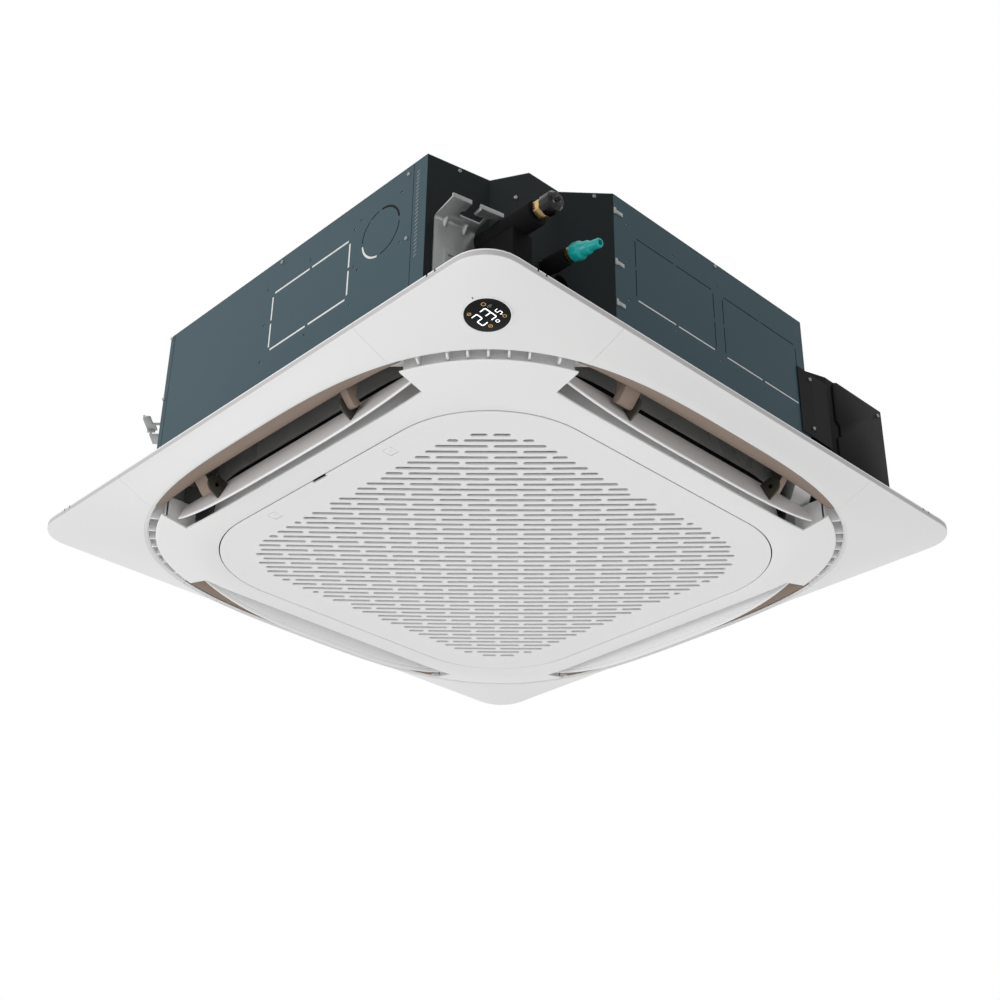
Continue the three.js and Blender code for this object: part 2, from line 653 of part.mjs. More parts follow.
/** The front outlet's outer wall: flared along its whole length, with two louvre brackets. */
function outletLining() {
  const steps = 4;
  const shares = Array.from({ length: steps + 1 }, (_, i) => i / steps);
  const stations = [-1, -0.85, -0.65, -0.35, 0, 0.35, 0.65, 0.85, 1];
  const rings = stations.map((share) => {
    const x = share * SLOT_HALF_OUT;
    const face = shares.map((s) => flarePoint(x, s));
    const back = shares.map((s) => flarePoint(x, s, LINING)).reverse();
    return [...face, ...back].map(([d, z]) => new THREE.Vector3(x, -d, z));
  });
  const shell = join(loft(rings, false), louvreBracket(-1, BRACKET_WIDE), louvreBracket(1, BRACKET_SLIM));
  const above = block(LINING_UPPER_HALF, SLOT_HALF_OUT + OVER, -RIM_HALF, 0, -GAP, DUCT_TOP + OVER);
  return cut(shell, above, above.clone().scale(-1, 1, 1));
}

const bracketStart = EAR_X + EAR_THICK + BRACKET_GAP;

/** A nose on the flare that carries one louvre pin. */
function louvreBracket(end, width) {
  const x = bracketStart + width / 2;
  const root = [0.55, 0.42, 0.3, 0.2].map((share) => flarePoint(x, share, LINING / 2));
  const noseAngles = [100, 140, 180, 220, 260, 300];
  const nose = noseAngles.map((degrees) => [
    PIVOT_DISTANCE + NOSE_RADIUS * Math.cos(radians(degrees)),
    -PIVOT_DROP + NOSE_RADIUS * Math.sin(radians(degrees)),
  ]);
  const outline = [...root, ...nose].map(([d, z]) => [-d, z]);
  const body = crossPrism(outline, bracketStart, bracketStart + width);
  const bore = rodX(PIN_RADIUS + GAP, bracketStart - OVER, bracketStart + PIN_LENGTH, -PIVOT_DISTANCE, -PIVOT_DROP, 12);
  const nosePiece = cut(body, bore);
  return end < 0 ? nosePiece.scale(-1, 1, 1) : nosePiece;
}

/** A louvre lying flat under its pivot, then opened as in use. */
function louvre() {
  const outer = Array.from({ length: 11 }, (_, i) => {
    const x = LOUVRE_HALF_OUT * (1 - i / 5);
    return [x, -(squircleSide(LOUVRE_REACH, x) - PIVOT_DISTANCE)];
  });
  const plan = [[-LOUVRE_HALF, LOUVRE_INNER], [LOUVRE_HALF, LOUVRE_INNER], ...outer];
  const blade = prism(plan, -LOUVRE_BACK - LOUVRE_THICK, -LOUVRE_BACK);
  const ears = [-1, 1].map(louvreEar);
  return join(blade, ...ears).rotateX(radians(LOUVRE_OPEN)).translate(0, -PIVOT_DISTANCE, -PIVOT_DROP);
}

/** A D-shaped cheek on the louvre's back, with its pin. */
function louvreEar(end) {
  const arc = Array.from({ length: 7 }, (_, i) => {
    const angle = Math.PI * i / 6;
    return [EAR_RADIUS * Math.cos(angle), EAR_RADIUS * Math.sin(angle)];
  });
  const foot = -LOUVRE_BACK - LOUVRE_THICK / 2;
  const cheek = crossPrism([...arc, [-EAR_RADIUS - 1, foot], [EAR_RADIUS + 1, foot]], EAR_X, EAR_X + EAR_THICK);
  const pin = rodX(PIN_RADIUS, EAR_X, bracketStart + PIN_LENGTH - 2 * GAP, 0, 0, 10);
  const ear = join(cheek, pin);
  return end < 0 ? ear.scale(-1, 1, 1) : ear;
}

/** The stepper motor behind the flare, beside the driven bracket. */
function louvreMotor() {
  const x = bracketStart + BRACKET_WIDE / 2;
  const lip = squircleSide(LIP_REACH, x) - GAP;
  const high = DUCT_TOP + OPENING_DROP - 2 * LIP_THICK - 2 * GAP - LINING;
  const reach = high - MOTOR_RADIUS - GAP - OVER;
  const drop = Math.sqrt(reach ** 2 - MOTOR_INSET ** 2);
  const can = rodX(MOTOR_RADIUS, -x - MOTOR_LENGTH / 2, -x + MOTOR_LENGTH / 2, -(lip - MOTOR_INSET), DUCT_TOP - drop, 14);
  const lug = block(-x - MOTOR_LENGTH / 2, -x - MOTOR_LENGTH / 2 + SKIN, -(lip - MOTOR_INSET) - 2 * MOTOR_INSET,
    -(lip - MOTOR_INSET) + 2 * MOTOR_INSET, DUCT_TOP - drop - SKIN, DUCT_TOP - drop + SKIN);
  return join(can, lug);
}

function addOutlets() {
  const lining = outletLining();
  const blade = louvre();
  const motor = louvreMotor();
  SIDES.forEach((side, i) => {
    const group = turnedGroup(i);
    add(`outlet_lining_${side}`, lining, TAN, group);
    add(`louvre_${side}`, blade, WHITE, group);
    add(`louvre_motor_${side}`, motor, OLIVE, group);
  });
}

// ---------------------------------------------------------------- intake grille
/** How much of a slot row lies inside the pattern: the chord's half length. */
function rowHalf(offset) {
  const half = PATTERN_HALF;
  const middle = half - PATTERN_CORNER;
  const inside = (u) => {
    const x = Math.abs((u + offset) / Math.SQRT2);
    const y = Math.abs((u - offset) / Math.SQRT2);
    if (x > half || y > half) return false;
    return x <= middle || y <= middle || Math.hypot(x - middle, y - middle) <= PATTERN_CORNER;
  };
  let low = 0;
  let high = 2 * half;
  if (!inside(0)) return 0;
  while (high - low > 0.01) {
    const middleU = (low + high) / 2;
    if (inside(middleU)) low = middleU;
    else high = middleU;
  }
  return low;
}

/** Four-sided holes in rows along one diagonal, every other row shifted by half a pitch. */
function grilleSlots() {
  const pitch = GRILLE_SLOT + GRILLE_BRIDGE;
  const slots = [];
  for (let row = 0; row < ROW_COUNT; row += 1) {
    const offset = (row - (ROW_COUNT - 1) / 2) * ROW_PITCH;
    const reach = rowHalf(offset);
    const shift = row % 2 === 0 ? pitch / 2 : 0;
    const most = Math.ceil(reach / pitch) + 1;
    for (let k = -most; k <= most; k += 1) {
      const centre = k * pitch + shift;
      const from = Math.max(centre - GRILLE_SLOT / 2, -reach);
      const to = Math.min(centre + GRILLE_SLOT / 2, reach);
      if (to - from >= GRILLE_SLOT_LEAST) slots.push(slotCorners(from, to, offset));
    }
  }
  return slots;
}

function slotCorners(from, to, offset) {
  const half = GRILLE_SLOT_WIDTH / 2;
  const tip = [[from, -half], [to, -half], [to, half], [from, half]];
  return tip.map(([u, v]) => {
    const across = offset + v;
    return [(u + across) / Math.SQRT2, (u - across) / Math.SQRT2];
  });
}

const domeDrop = (x, y) => GRILLE_DOME * (1 - (x / GRILLE_HALF) ** 2) * (1 - (y / GRILLE_HALF) ** 2);

function latchHole(x) {
  const half = LATCH_SIZE / 2;
  return [[x - half, LATCH_Y - half], [x + half, LATCH_Y - half], [x + half, LATCH_Y + half], [x - half, LATCH_Y + half]];
}

/** The flat tray is pierced first and then bulged, so both its faces stay parallel. */
function grilleTray() {
  const [low, high] = [-SEAM_DROP, -SEAM_DROP + GRILLE_THICK];
  const skirtTop = low + GRILLE_SKIRT_HEIGHT;
  const skirt = squareRing(GRILLE_HALF - GRILLE_SKIRT_INSET, GRILLE_CORNER - GRILLE_SKIRT_INSET,
    GRILLE_SKIRT_WALL, low + GRILLE_THICK / 2, skirtTop);
  const holes = [...grilleSlots(), latchHole(-LATCH_X), latchHole(LATCH_X)];
  const punches = mergeGeometries(holes.map((hole) => prism(hole, low - OVER, high + OVER)));
  const [from, to, deep] = FINGER_NOTCH;
  const notch = block(from, to, -GRILLE_HALF - OVER, -GRILLE_HALF + deep, low - OVER, skirtTop + OVER);
  const plate = prism(squarePlan(GRILLE_HALF, GRILLE_CORNER, FINE_ANGLES), low, high);
  const tray = cut(join(plate, skirt), punches, notch);
  const points = tray.attributes.position;
  for (let i = 0; i < points.count; i += 1) {
    points.setZ(i, points.getZ(i) - Math.max(0, domeDrop(points.getX(i), points.getY(i))));
  }
  return tray;
}

/** Two goosenecks that reach from the grille over the seam, with a pin between them, astride an ear. */
function grilleHinge(x) {
  const inner = HINGE_ARM_WIDTH / 2 + HINGE_LUG_GAP;
  const outer = inner + HINGE_LUG_WIDTH;
  const foot = -SEAM_DROP + GRILLE_THICK / 2;
  const [legNear, legFar] = HINGE_LEG.map((reach) => HINGE_Y - reach);
  const [low, high] = [HINGE_Z + HINGE_LUG_LOW, HINGE_Z + HINGE_LUG_HIGH];
  const outline = [
    [HINGE_Y - HINGE_BARREL_RADIUS, HINGE_Z], [HINGE_Y + HINGE_BARREL_RADIUS, HINGE_Z],
    [HINGE_Y + HINGE_BARREL_RADIUS, high], [legNear, high], [legNear, foot], [legFar, foot], [legFar, low],
    [HINGE_Y - HINGE_BARREL_RADIUS, low],
  ];
  const lugs = [[x - outer, x - inner], [x + inner, x + outer]].map(([from, to]) =>
    join(crossPrism(outline, from, to), rodX(HINGE_BARREL_RADIUS, from, to, HINGE_Y, HINGE_Z)));
  return join(...lugs, rodX(HINGE_PIN_RADIUS, x - outer, x + outer, HINGE_Y, HINGE_Z, 12));
}

function addGrille() {
  const shape = join(grilleTray(), grilleHinge(-HINGE_X), grilleHinge(HINGE_X));
  add('intake_grille', shape, GRILLE_WHITE);
  [['left', -LATCH_X], ['right', LATCH_X]].forEach(([side, x]) => add(`latch_${side}`, latch(x), WHITE));
  add('air_filter', airFilter(), NET);
}

/** A push button that stands flush in the grille, kept in by a flange behind it. */
function latch(x) {
  const half = LATCH_SIZE / 2 - GAP;
  const face = -SEAM_DROP - domeDrop(x, LATCH_Y);
  const back = face + GRILLE_THICK + 2 * GAP;
  const flange = LATCH_FLANGE / 2;
  return join(
    block(x - half, x + half, LATCH_Y - half, LATCH_Y + half, face, back + LATCH_FLANGE_THICK),
    block(x - flange, x + flange, LATCH_Y - flange, LATCH_Y + flange, back, back + LATCH_FLANGE_THICK),
  );
}

/** A ribbed frame with a thin net across it, lying in the back of the grille. */
function airFilter() {
  const foot = -SEAM_DROP + GRILLE_THICK + GAP;
  const border = squareRing(FILTER_HALF, FILTER_CORNER, FILTER_BORDER, foot, foot + FILTER_HEIGHT);
  const net = prism(squarePlan(FILTER_HALF - 1, FILTER_CORNER - 1), foot + FILTER_RIB, foot + FILTER_RIB + FILTER_NET);
  const reach = FILTER_HALF - FILTER_BORDER / 2;
  const ribs = [-1, 1].map((side) => {
    const x = side * FILTER_HALF / 3;
    return block(x - FILTER_RIB / 2, x + FILTER_RIB / 2, -reach, reach, foot + FILTER_NET, foot + FILTER_HEIGHT - FILTER_NET);
  });
  return join(border, net, ...ribs);
}

// ---------------------------------------------------------------- body
const bodyPlan = () => [
  [-CHAMFER_START, -BODY_HALF], ...RECESS, ...RIGHT_CHAMFER, [-CHAMFER_START, BODY_HALF],
  [-BODY_HALF, CHAMFER_START], [-BODY_HALF, -CHAMFER_START],
];

/** The body's inner outline: square, with its four corners cut. */
function cavityPlan(half) {
  const { left, frontRight, backRight } = FOAM_CHAMFER;
  return [
    [-(left - half), -half], [frontRight - half, -half], [half, -(frontRight - half)], [half, backRight - half],
    [backRight - half, half], [-(left - half), half], [-half, left - half], [-half, -(left - half)],
  ];
}

/** Holes for the pipes and the drain, from inside the body out into the recess. */
function pipeHoles(gap) {
  return [
    rodX(GAS.sleeve + gap, PAN_HOLE, BODY_HALF, GAS.y, GAS.z, 14),
    rodX(LIQUID.sleeve + gap, PAN_HOLE, BODY_HALF, LIQUID.y, LIQUID.z, 12),
    rodX(DRAIN.radius + gap, PAN_HOLE, BODY_HALF, DRAIN.y, DRAIN.z, 12),
  ];
}

/** A pressed outline of a rectangle that can be knocked out, as a groove in a wall. */
function grooveRect([from, to, low, high]) {
  const ring = (inset) => [[from + inset, low + inset], [to - inset, low + inset], [to - inset, high - inset], [from + inset, high - inset]];
  return prism(ring(0), 0, KNOCKOUT_DEPTH + OVER, [ring(KNOCKOUT_LINE)]);
}

const standOnFront = (groove) =>
  groove.rotateX(Math.PI / 2).translate(0, -BODY_HALF + KNOCKOUT_DEPTH, 0);
const standOnRight = (groove) =>
  groove.rotateX(Math.PI / 2).rotateZ(Math.PI / 2).translate(BODY_HALF - KNOCKOUT_DEPTH, 0, 0);

function addBody() {
  const plan = bodyPlan();
  const wall = prism(plan, GAP, BODY_TOP - SHEET - GAP, [insetPlan(plan, SHEET)]);
  const [x, z, radius] = FRONT_ROUND;
  const roundGroove = closedTurn([[radius - KNOCKOUT_LINE, 0], [radius, 0], [radius, KNOCKOUT_DEPTH + OVER],
    [radius - KNOCKOUT_LINE, KNOCKOUT_DEPTH + OVER]], 18).translate(x, z, 0);
  const grooves = [
    standOnFront(grooveRect(FRONT_KNOCKOUT)), standOnFront(roundGroove),
    ...RIGHT_KNOCKOUTS.map((rectangle) => standOnRight(grooveRect(rectangle))),
  ];
  add('casing_wall', cut(wall, ...grooves, ...pipeHoles(FIT)), STEEL);
  add('casing_top', casingTop(plan), STEEL);
  add('foam_liner', foamLiner(plan), FOAM);
}

/** The top plate, stiffened by a pressed ring and four ribs. */
function casingTop(plan) {
  const plate = prism(plan, BODY_TOP - SHEET, BODY_TOP);
  const crown = BODY_TOP + TOP_RIB;
  const [foot, edge, farEdge, farFoot] = TOP_RING;
  const low = BODY_TOP - SHEET / 2;
  const ring = closedTurn([[foot, low], [farFoot, low], [farEdge, crown], [edge, crown]], 32);
  const rib = block(farEdge, TOP_RIB_END, -TOP_RIB_WIDTH / 2, TOP_RIB_WIDTH / 2, low, crown);
  const ribs = [45, 135, 225, 315].map((degrees) => rib.clone().rotateZ(radians(degrees)));
  return join(plate, ring, ...ribs);
}

function foamLiner(plan) {
  const top = BODY_TOP - SHEET - GAP;
  const blank = prism(insetPlan(plan, SHEET + GAP), FOAM_FOOT, top);
  const ring = (half, z) => cavityPlan(half).map(([x, y]) => new THREE.Vector3(x, y, z));
  const cavity = prism(cavityPlan(DUCT_DISTANCE), FOAM_STEP - OVER, top - FOAM_TOP);
  const mouth = loft([ring(DUCT_DISTANCE + FOAM_FOOT_OUT, FOAM_FOOT - OVER), ring(DUCT_DISTANCE + FOAM_STEP_OUT, FOAM_STEP)], false);
  const motorHole = rodZ(BRACKET_PLATE_RADIUS + 2 * OVER, top - FOAM_TOP - OVER, top + OVER, 24);
  return cut(blank, cavity, mouth, motorHole, ...pipeHoles(FIT));
}

// ---------------------------------------------------------------- drain pan, coil and bellmouth
const coilRing = (grow, z0, z1) => prism(squarePlan(COIL_HALF + grow, COIL_CORNER + grow), z0, z1,
  [squarePlan(COIL_HALF - COIL_THICK - grow, COIL_CORNER - COIL_THICK - grow)]);

/** A lug that carries one corner of the drain pan on the foam. */
function panLug(quarter, chamfer) {
  const reach = chamfer / Math.SQRT2 - GAP;
  const start = roundedSquare(WELL_HALF, WELL_CORNER, Math.PI / 4) - 2 * WELL_WALL;
  return block(start, reach, -30, 30, FOAM_STEP + WELL_WALL, TROUGH_FLOOR).rotateZ(quarter * Math.PI / 2 - Math.PI / 4);
}

function addWaterAndAir() {
  const blank = prism(squarePlan(WELL_HALF, WELL_CORNER), PAN_FOOT, PAN_TOP);
  const hole = rodZ(PAN_HOLE, PAN_FOOT - OVER, PAN_TOP + OVER, 32);
  const { left, frontRight, backRight } = FOAM_CHAMFER;
  const lugs = [frontRight, backRight, left, left].map((chamfer, i) => panLug(i, chamfer));
  const trough = coilRing(TROUGH_MARGIN, TROUGH_FLOOR, PAN_TOP + OVER);
  add('drain_pan', cut(join(blank, ...lugs), hole, trough), PAN_GREY);

  const coilTop = BODY_TOP - SHEET - GAP - FOAM_TOP - GAP;
  const recessCut = block(COIL_END, COIL_HALF + OVER, -COIL_HALF - OVER, -COIL_END, TROUGH_FLOOR - OVER, coilTop + OVER);
  add('heat_exchanger', cut(coilRing(0, TROUGH_FLOOR + GAP, coilTop), recessCut), FIN_ALUMINIUM);
  const near = COIL_HALF - COIL_THICK + 8;
  const plate = prism([[COIL_END + GAP, -near], [near, -COIL_END - GAP], [near - 2, -COIL_END - GAP],
    [COIL_END + GAP, -near + 2]], TROUGH_FLOOR + GAP, coilTop);
  add('coil_corner_plate', plate, ZINC);

  const bell = [
    [BELL_FLARE, PAN_FOOT - GAP - BELL_PLATE], [BELL_FLARE - 22, 27], [BELL_THROAT + 3, 56],
    [BELL_THROAT, BELL_TOP], [BELL_THROAT + BELL_WALL, BELL_TOP], [BELL_THROAT + 3 + BELL_WALL, 56],
    [BELL_FLARE - 20, 29], [BELL_FLARE + 2, PAN_FOOT - GAP],
  ];
  const plateOfBell = prism(squarePlan(WELL_HALF - WELL_WALL - GAP, WELL_CORNER - WELL_WALL - GAP),
    PAN_FOOT - GAP - BELL_PLATE, PAN_FOOT - GAP);
  const throat = rodZ(BELL_FLARE + 1, 0, PAN_FOOT + OVER, 32);
  add('bellmouth', join(cut(plateOfBell, throat), closedTurn(bell, 32)), PAN_GREY);
}

// ---------------------------------------------------------------- fan
/** One blade between hub plate and shroud: an arc swept back, as a thick line in plan. */
function fanBlade(turn) {
  const steps = 4;
  const spine = Array.from({ length: steps + 1 }, (_, i) => {
    const share = i / steps;
    const radius = BLADE_ROOT + (FAN_RADIUS - 2 - BLADE_ROOT) * share;
    const angle = turn - radians(BLADE_SWEEP) * share ** 1.3;
    return new THREE.Vector2(radius * Math.cos(angle), radius * Math.sin(angle));
  });
  const offset = (side) => spine.map((point, i) => {
    const along = spine[Math.min(i + 1, steps)].clone().sub(spine[Math.max(i - 1, 0)]).normalize();
    const half = side * BLADE_THICK / 2 * (1 - 0.5 * i / steps);
    return [point.x - along.y * half, point.y + along.x * half];
  });
  return prism([...offset(1), ...offset(-1).reverse()], FAN_MOUTH_Z, FAN_TOP);
}

function turbofan() {
  const shroud = closedTurn([
    [FAN_MOUTH, FAN_MOUTH_Z], [FAN_MOUTH + 5, FAN_SHROUD_Z - 12], [FAN_RADIUS, FAN_SHROUD_Z],
    [FAN_RADIUS, FAN_SHROUD_Z - FAN_WALL], [FAN_MOUTH + 8, FAN_SHROUD_Z - 13], [FAN_MOUTH + 3, FAN_MOUTH_Z],
  ], 28);
  const hub = closedTurn([
    [FAN_RADIUS, FAN_TOP], [122, FAN_TOP - 8], [86, 180], [66, HUB_HIGH + 2],
    [SHAFT_RADIUS + GAP, HUB_HIGH + 2], [SHAFT_RADIUS + GAP, HUB_LOW],
    [HUB_RADIUS, HUB_LOW], [HUB_RADIUS, HUB_HIGH - 3], [67, HUB_HIGH - 1], [89, 178],
    [124, FAN_TOP - 8 - FAN_WALL], [FAN_RADIUS, FAN_TOP - FAN_WALL],
  ], 28);
  const room = closedTurn([
    [BLADE_ROOT - 8, FAN_TOP - 9], [FAN_RADIUS, FAN_TOP - 1], [FAN_RADIUS, FAN_SHROUD_Z - 1],
    [FAN_MOUTH + 6.5, FAN_SHROUD_Z - 12.5], [FAN_MOUTH + 2, FAN_MOUTH_Z + 6],
    [BLADE_ROOT + 20, FAN_MOUTH_Z + 14], [BLADE_ROOT - 8, FAN_MOUTH_Z + 40],
  ], 28);
  const blades = Array.from({ length: FAN_BLADES }, (_, i) =>
    common(fanBlade(2 * Math.PI * i / FAN_BLADES), room));
  return join(shroud, hub, ...blades);
}

function addFan() {
  add('turbofan', turbofan(), FAN_GREY);
  add('motor_shaft', rodZ(SHAFT_RADIUS, SHAFT_LOW, FAN_MOTOR_LOW - GAP, 28), ZINC);
  const nut = cut(rodZ(12, HUB_LOW - 12, HUB_LOW - GAP, 6), rodZ(SHAFT_RADIUS + GAP, 0, HUB_LOW, 28));
  add('fan_nut', nut, BRASS);
  add('fan_motor', turned([
    [0, FAN_MOTOR_LOW], [14, FAN_MOTOR_LOW], [14, FAN_MOTOR_LOW + 6], [FAN_MOTOR_RADIUS - 10, FAN_MOTOR_LOW + 10],
    [FAN_MOTOR_RADIUS, FAN_MOTOR_LOW + 20], [FAN_MOTOR_RADIUS, FAN_MOTOR_HIGH],
    [MOTOR_FLANGE_RADIUS, FAN_MOTOR_HIGH], [MOTOR_FLANGE_RADIUS, FAN_MOTOR_HIGH + MOTOR_FLANGE_THICK],
    [FAN_MOTOR_RADIUS - 8, FAN_MOTOR_HIGH + MOTOR_FLANGE_THICK], [0, FAN_MOTOR_HIGH + 12],
  ], 20), ZINC);
  const ceiling = BODY_TOP - SHEET - GAP;
  const posts = [45, 135, 225, 315].map((degrees) => {
    const [x, y] = [POST_CIRCLE * Math.cos(radians(degrees)), POST_CIRCLE * Math.sin(radians(degrees))];
    return rodZ(POST_RADIUS, FAN_MOTOR_HIGH + MOTOR_FLANGE_THICK + GAP, ceiling - BRACKET_PLATE / 2, 8, x, y);
  });
  add('motor_bracket', join(rodZ(BRACKET_PLATE_RADIUS, ceiling - BRACKET_PLATE, ceiling, 24), ...posts), STEEL);
}

// ---------------------------------------------------------------- pipes and drain
/** A round pipe along a smooth path. */
function pipeAlong(points, radius, steps, sides = 8) {
  const section = new THREE.Shape(Array.from({ length: sides }, (_, i) => {
    const angle = 2 * Math.PI * i / sides;
    return new THREE.Vector2(radius * Math.cos(angle), radius * Math.sin(angle));
  }));
  const path = new THREE.CatmullRomCurve3(points.map((point) => new THREE.Vector3(...point)));
  return new THREE.ExtrudeGeometry(section, { steps, bevelEnabled: false, extrudePath: path });
}

const tubeX = (outer, inner, x0, x1, y, z, sides) =>
  cut(rodX(outer, x0, x1, y, z, sides), rodX(inner, x0 - OVER, x1 + OVER, y, z, 8));

function addPipes() {
  const middle = COIL_HALF - COIL_THICK / 3;
  add('gas_pipe', pipeAlong([
    [COIL_END + GAP, -middle, GAS.z], [COIL_END + 12, -middle, GAS.z], [SLEEVE_START - 16, GAS.y + 6, GAS.z],
    [SLEEVE_START, GAS.y, GAS.z], [SLEEVE_START + 20, GAS.y, GAS.z], [GAS.end, GAS.y, GAS.z],
    [GAS.end + GAP, GAS.y, GAS.z],
  ], GAS.pipe, 12), COPPER);
  add('gas_insulation', tubeX(GAS.sleeve, GAS.pipe + FIT, SLEEVE_START + 4, GAS.end - 1, GAS.y, GAS.z, 14), RUBBER);
  const gasNutEnd = GAS.end + 2 * GAP + GAS.nutLength;
  add('gas_flare_nut', rodX(GAS.nut, GAS.end + 2 * GAP, gasNutEnd, GAS.y, GAS.z, 6), BRASS);
  const gasCap = turned([[0, 0], [GAS.cap, 0], [GAS.cap, GAS.capLength - 4], [GAS.cap - 4, GAS.capLength],
    [4, GAS.capLength], [3, GAS.capLength + 4], [0, GAS.capLength + 4]], 12);
  add('gas_cap', gasCap.rotateY(Math.PI / 2).translate(gasNutEnd + GAP, GAS.y, GAS.z), BLACK);

  const bend = LIQUID_SLEEVE_START - 12;
  add('liquid_pipe', pipeAlong([
    [middle, -COIL_END - GAP, LIQUID.z], [middle, -COIL_END - 12, LIQUID.z], [bend, LIQUID.y + 12, LIQUID.z],
    [LIQUID_SLEEVE_START, LIQUID.y, LIQUID.z], [LIQUID_SLEEVE_START + 16, LIQUID.y, LIQUID.z],
    [LIQUID.end, LIQUID.y, LIQUID.z], [LIQUID.end + GAP, LIQUID.y, LIQUID.z],
  ], LIQUID.pipe, 10), COPPER);
  add('liquid_insulation', tubeX(LIQUID.sleeve, LIQUID.pipe + FIT, LIQUID_SLEEVE_START + LIQUID.sleeve, LIQUID.end - 1,
    LIQUID.y, LIQUID.z, 12), RUBBER);
  const fittings = new THREE.Group();
  fittings.position.set(LIQUID.end + 1 + 2 * GAP, LIQUID.y, LIQUID.z);
  fittings.rotation.y = radians(LIQUID.tilt);
  unit.add(fittings);
  add('liquid_flare_nut', rodX(LIQUID.nut, 0, LIQUID.nutLength, 0, 0, 6), BRASS, fittings);
  const cap = turned([[0, 0], ...LIQUID_CAP, [0, LIQUID_CAP.at(-1)[1]]], 12);
  add('liquid_cap', cap.rotateY(Math.PI / 2).translate(LIQUID.nutLength + GAP, 0, 0), TEAL, fittings);

  const tube = tubeX(DRAIN.radius, DRAIN.radius - DRAIN.wall, PUMP[0] + PUMP_RADIUS + GAP, DRAIN.end, DRAIN.y, DRAIN.z, 12);
  add('drain_outlet', tube, BLACK);
}

function addDrainPump() {
  const [x, y] = PUMP;
  const body = turned([
    [0, TROUGH_FLOOR + GAP], [PUMP_STEM, TROUGH_FLOOR + GAP], [PUMP_STEM, PUMP_LOW], [PUMP_RADIUS, PUMP_LOW],
    [PUMP_RADIUS, PUMP_LOW + 30], [PUMP_RADIUS - 4, PUMP_LOW + 34], [PUMP_RADIUS - 4, PUMP_TOP - 4],
    [PUMP_RADIUS - 8, PUMP_TOP], [0, PUMP_TOP],
  ], 14);
  add('drain_pump', body.translate(x, y, 0), WHITE);

  const [u, v] = FLOAT_SPOT;
  const headLow = FLOAT_LOW + FLOAT_HEIGHT + FLOAT_TRAVEL + 1;
  const stem = turned([
    [0, TROUGH_FLOOR + GAP], [STEM_RADIUS, TROUGH_FLOOR + GAP], [STEM_RADIUS, FLOAT_LOW - 4], [STOP_RADIUS, FLOAT_LOW - 4],
    [STOP_RADIUS, FLOAT_LOW - GAP], [STEM_RADIUS, FLOAT_LOW - GAP], [STEM_RADIUS, headLow],
    [FLOAT_RADIUS, headLow], [FLOAT_RADIUS, headLow + 10], [0, headLow + 10],
  ], 12).translate(u, v, 0);
  const span = Math.hypot(x - u, y - v);
  const arm = block(FLOAT_RADIUS / 2, span - PUMP_RADIUS - GAP, -4, 4, headLow + 3, headLow + 8)
    .rotateZ(Math.atan2(y - v, x - u)).translate(u, v, 0);
  add('float_switch', join(stem, arm), WHITE);
  const ring = closedTurn([[STEM_RADIUS + FIT, FLOAT_LOW], [FLOAT_RADIUS, FLOAT_LOW],
    [FLOAT_RADIUS, FLOAT_LOW + FLOAT_HEIGHT], [STEM_RADIUS + FIT, FLOAT_LOW + FLOAT_HEIGHT]], 12);
  add('float', ring.translate(u, v, 0), FOAM);
}

// ---------------------------------------------------------------- hangers and control box
/** A steel angle on the wall with a slotted ledge for a hanging rod; its wall face is x = 0. */
function hanger() {
  const half = HANGER_WIDTH / 2;
  const upright = block(0, HANGER_SHEET, -half, half, HANGER_FOOT, HANGER_TOP);
  const ledge = block(0, HANGER_LEDGE, -half, half, HANGER_TOP - HANGER_SHEET, HANGER_TOP);
  const [tabStart, tabLength] = HANGER_TAB;
  const tab = block(tabStart, HANGER_LEDGE, half - OVER, half + tabLength, HANGER_TOP - HANGER_SHEET, HANGER_TOP);
  const slotEnd = half - HANGER_SLOT_LENGTH + HANGER_SLOT / 2;
  const slot = block(HANGER_SLOT_OUT - HANGER_SLOT / 2, HANGER_SLOT_OUT + HANGER_SLOT / 2, slotEnd, half + OVER,
    HANGER_TOP - 2 * HANGER_SHEET, HANGER_TOP + OVER);
  const round = rodZ(HANGER_SLOT / 2, HANGER_TOP - 2 * HANGER_SHEET, HANGER_TOP + OVER, 12, HANGER_SLOT_OUT, slotEnd);
  return cut(join(upright, ledge, tab), slot, round);
}

/** Where each hanger stands: a point on the body's outline and the wall's outward angle. */
function hangerSpots() {
  const [[a, b], [c, d]] = RECESS;
  const [[e, f], [g, h]] = RIGHT_CHAMFER;
  const between = (from, to, share) => from + (to - from) * share;
  const cornerMiddle = (CHAMFER_START + BODY_HALF) / 2;
  return [
    [between(a, c, 0.39), between(b, d, 0.39), Math.atan2(c - a, d - b) * -1],
    [between(e, g, 0.68), between(f, h, 0.68), Math.atan2(e - g, h - f)],
    [-cornerMiddle, cornerMiddle, radians(135)],
    [-cornerMiddle, -cornerMiddle, radians(225)],
  ];
}

function addHangers() {
  hangerSpots().forEach(([x, y, angle], i) => {
    const group = new THREE.Group();
    group.position.set(x + GAP * Math.cos(angle), y + GAP * Math.sin(angle), 0);
    group.rotation.z = angle;
    unit.add(group);
    add(`hanger_${CORNERS[i]}`, hanger(), ZINC, group);
  });
}

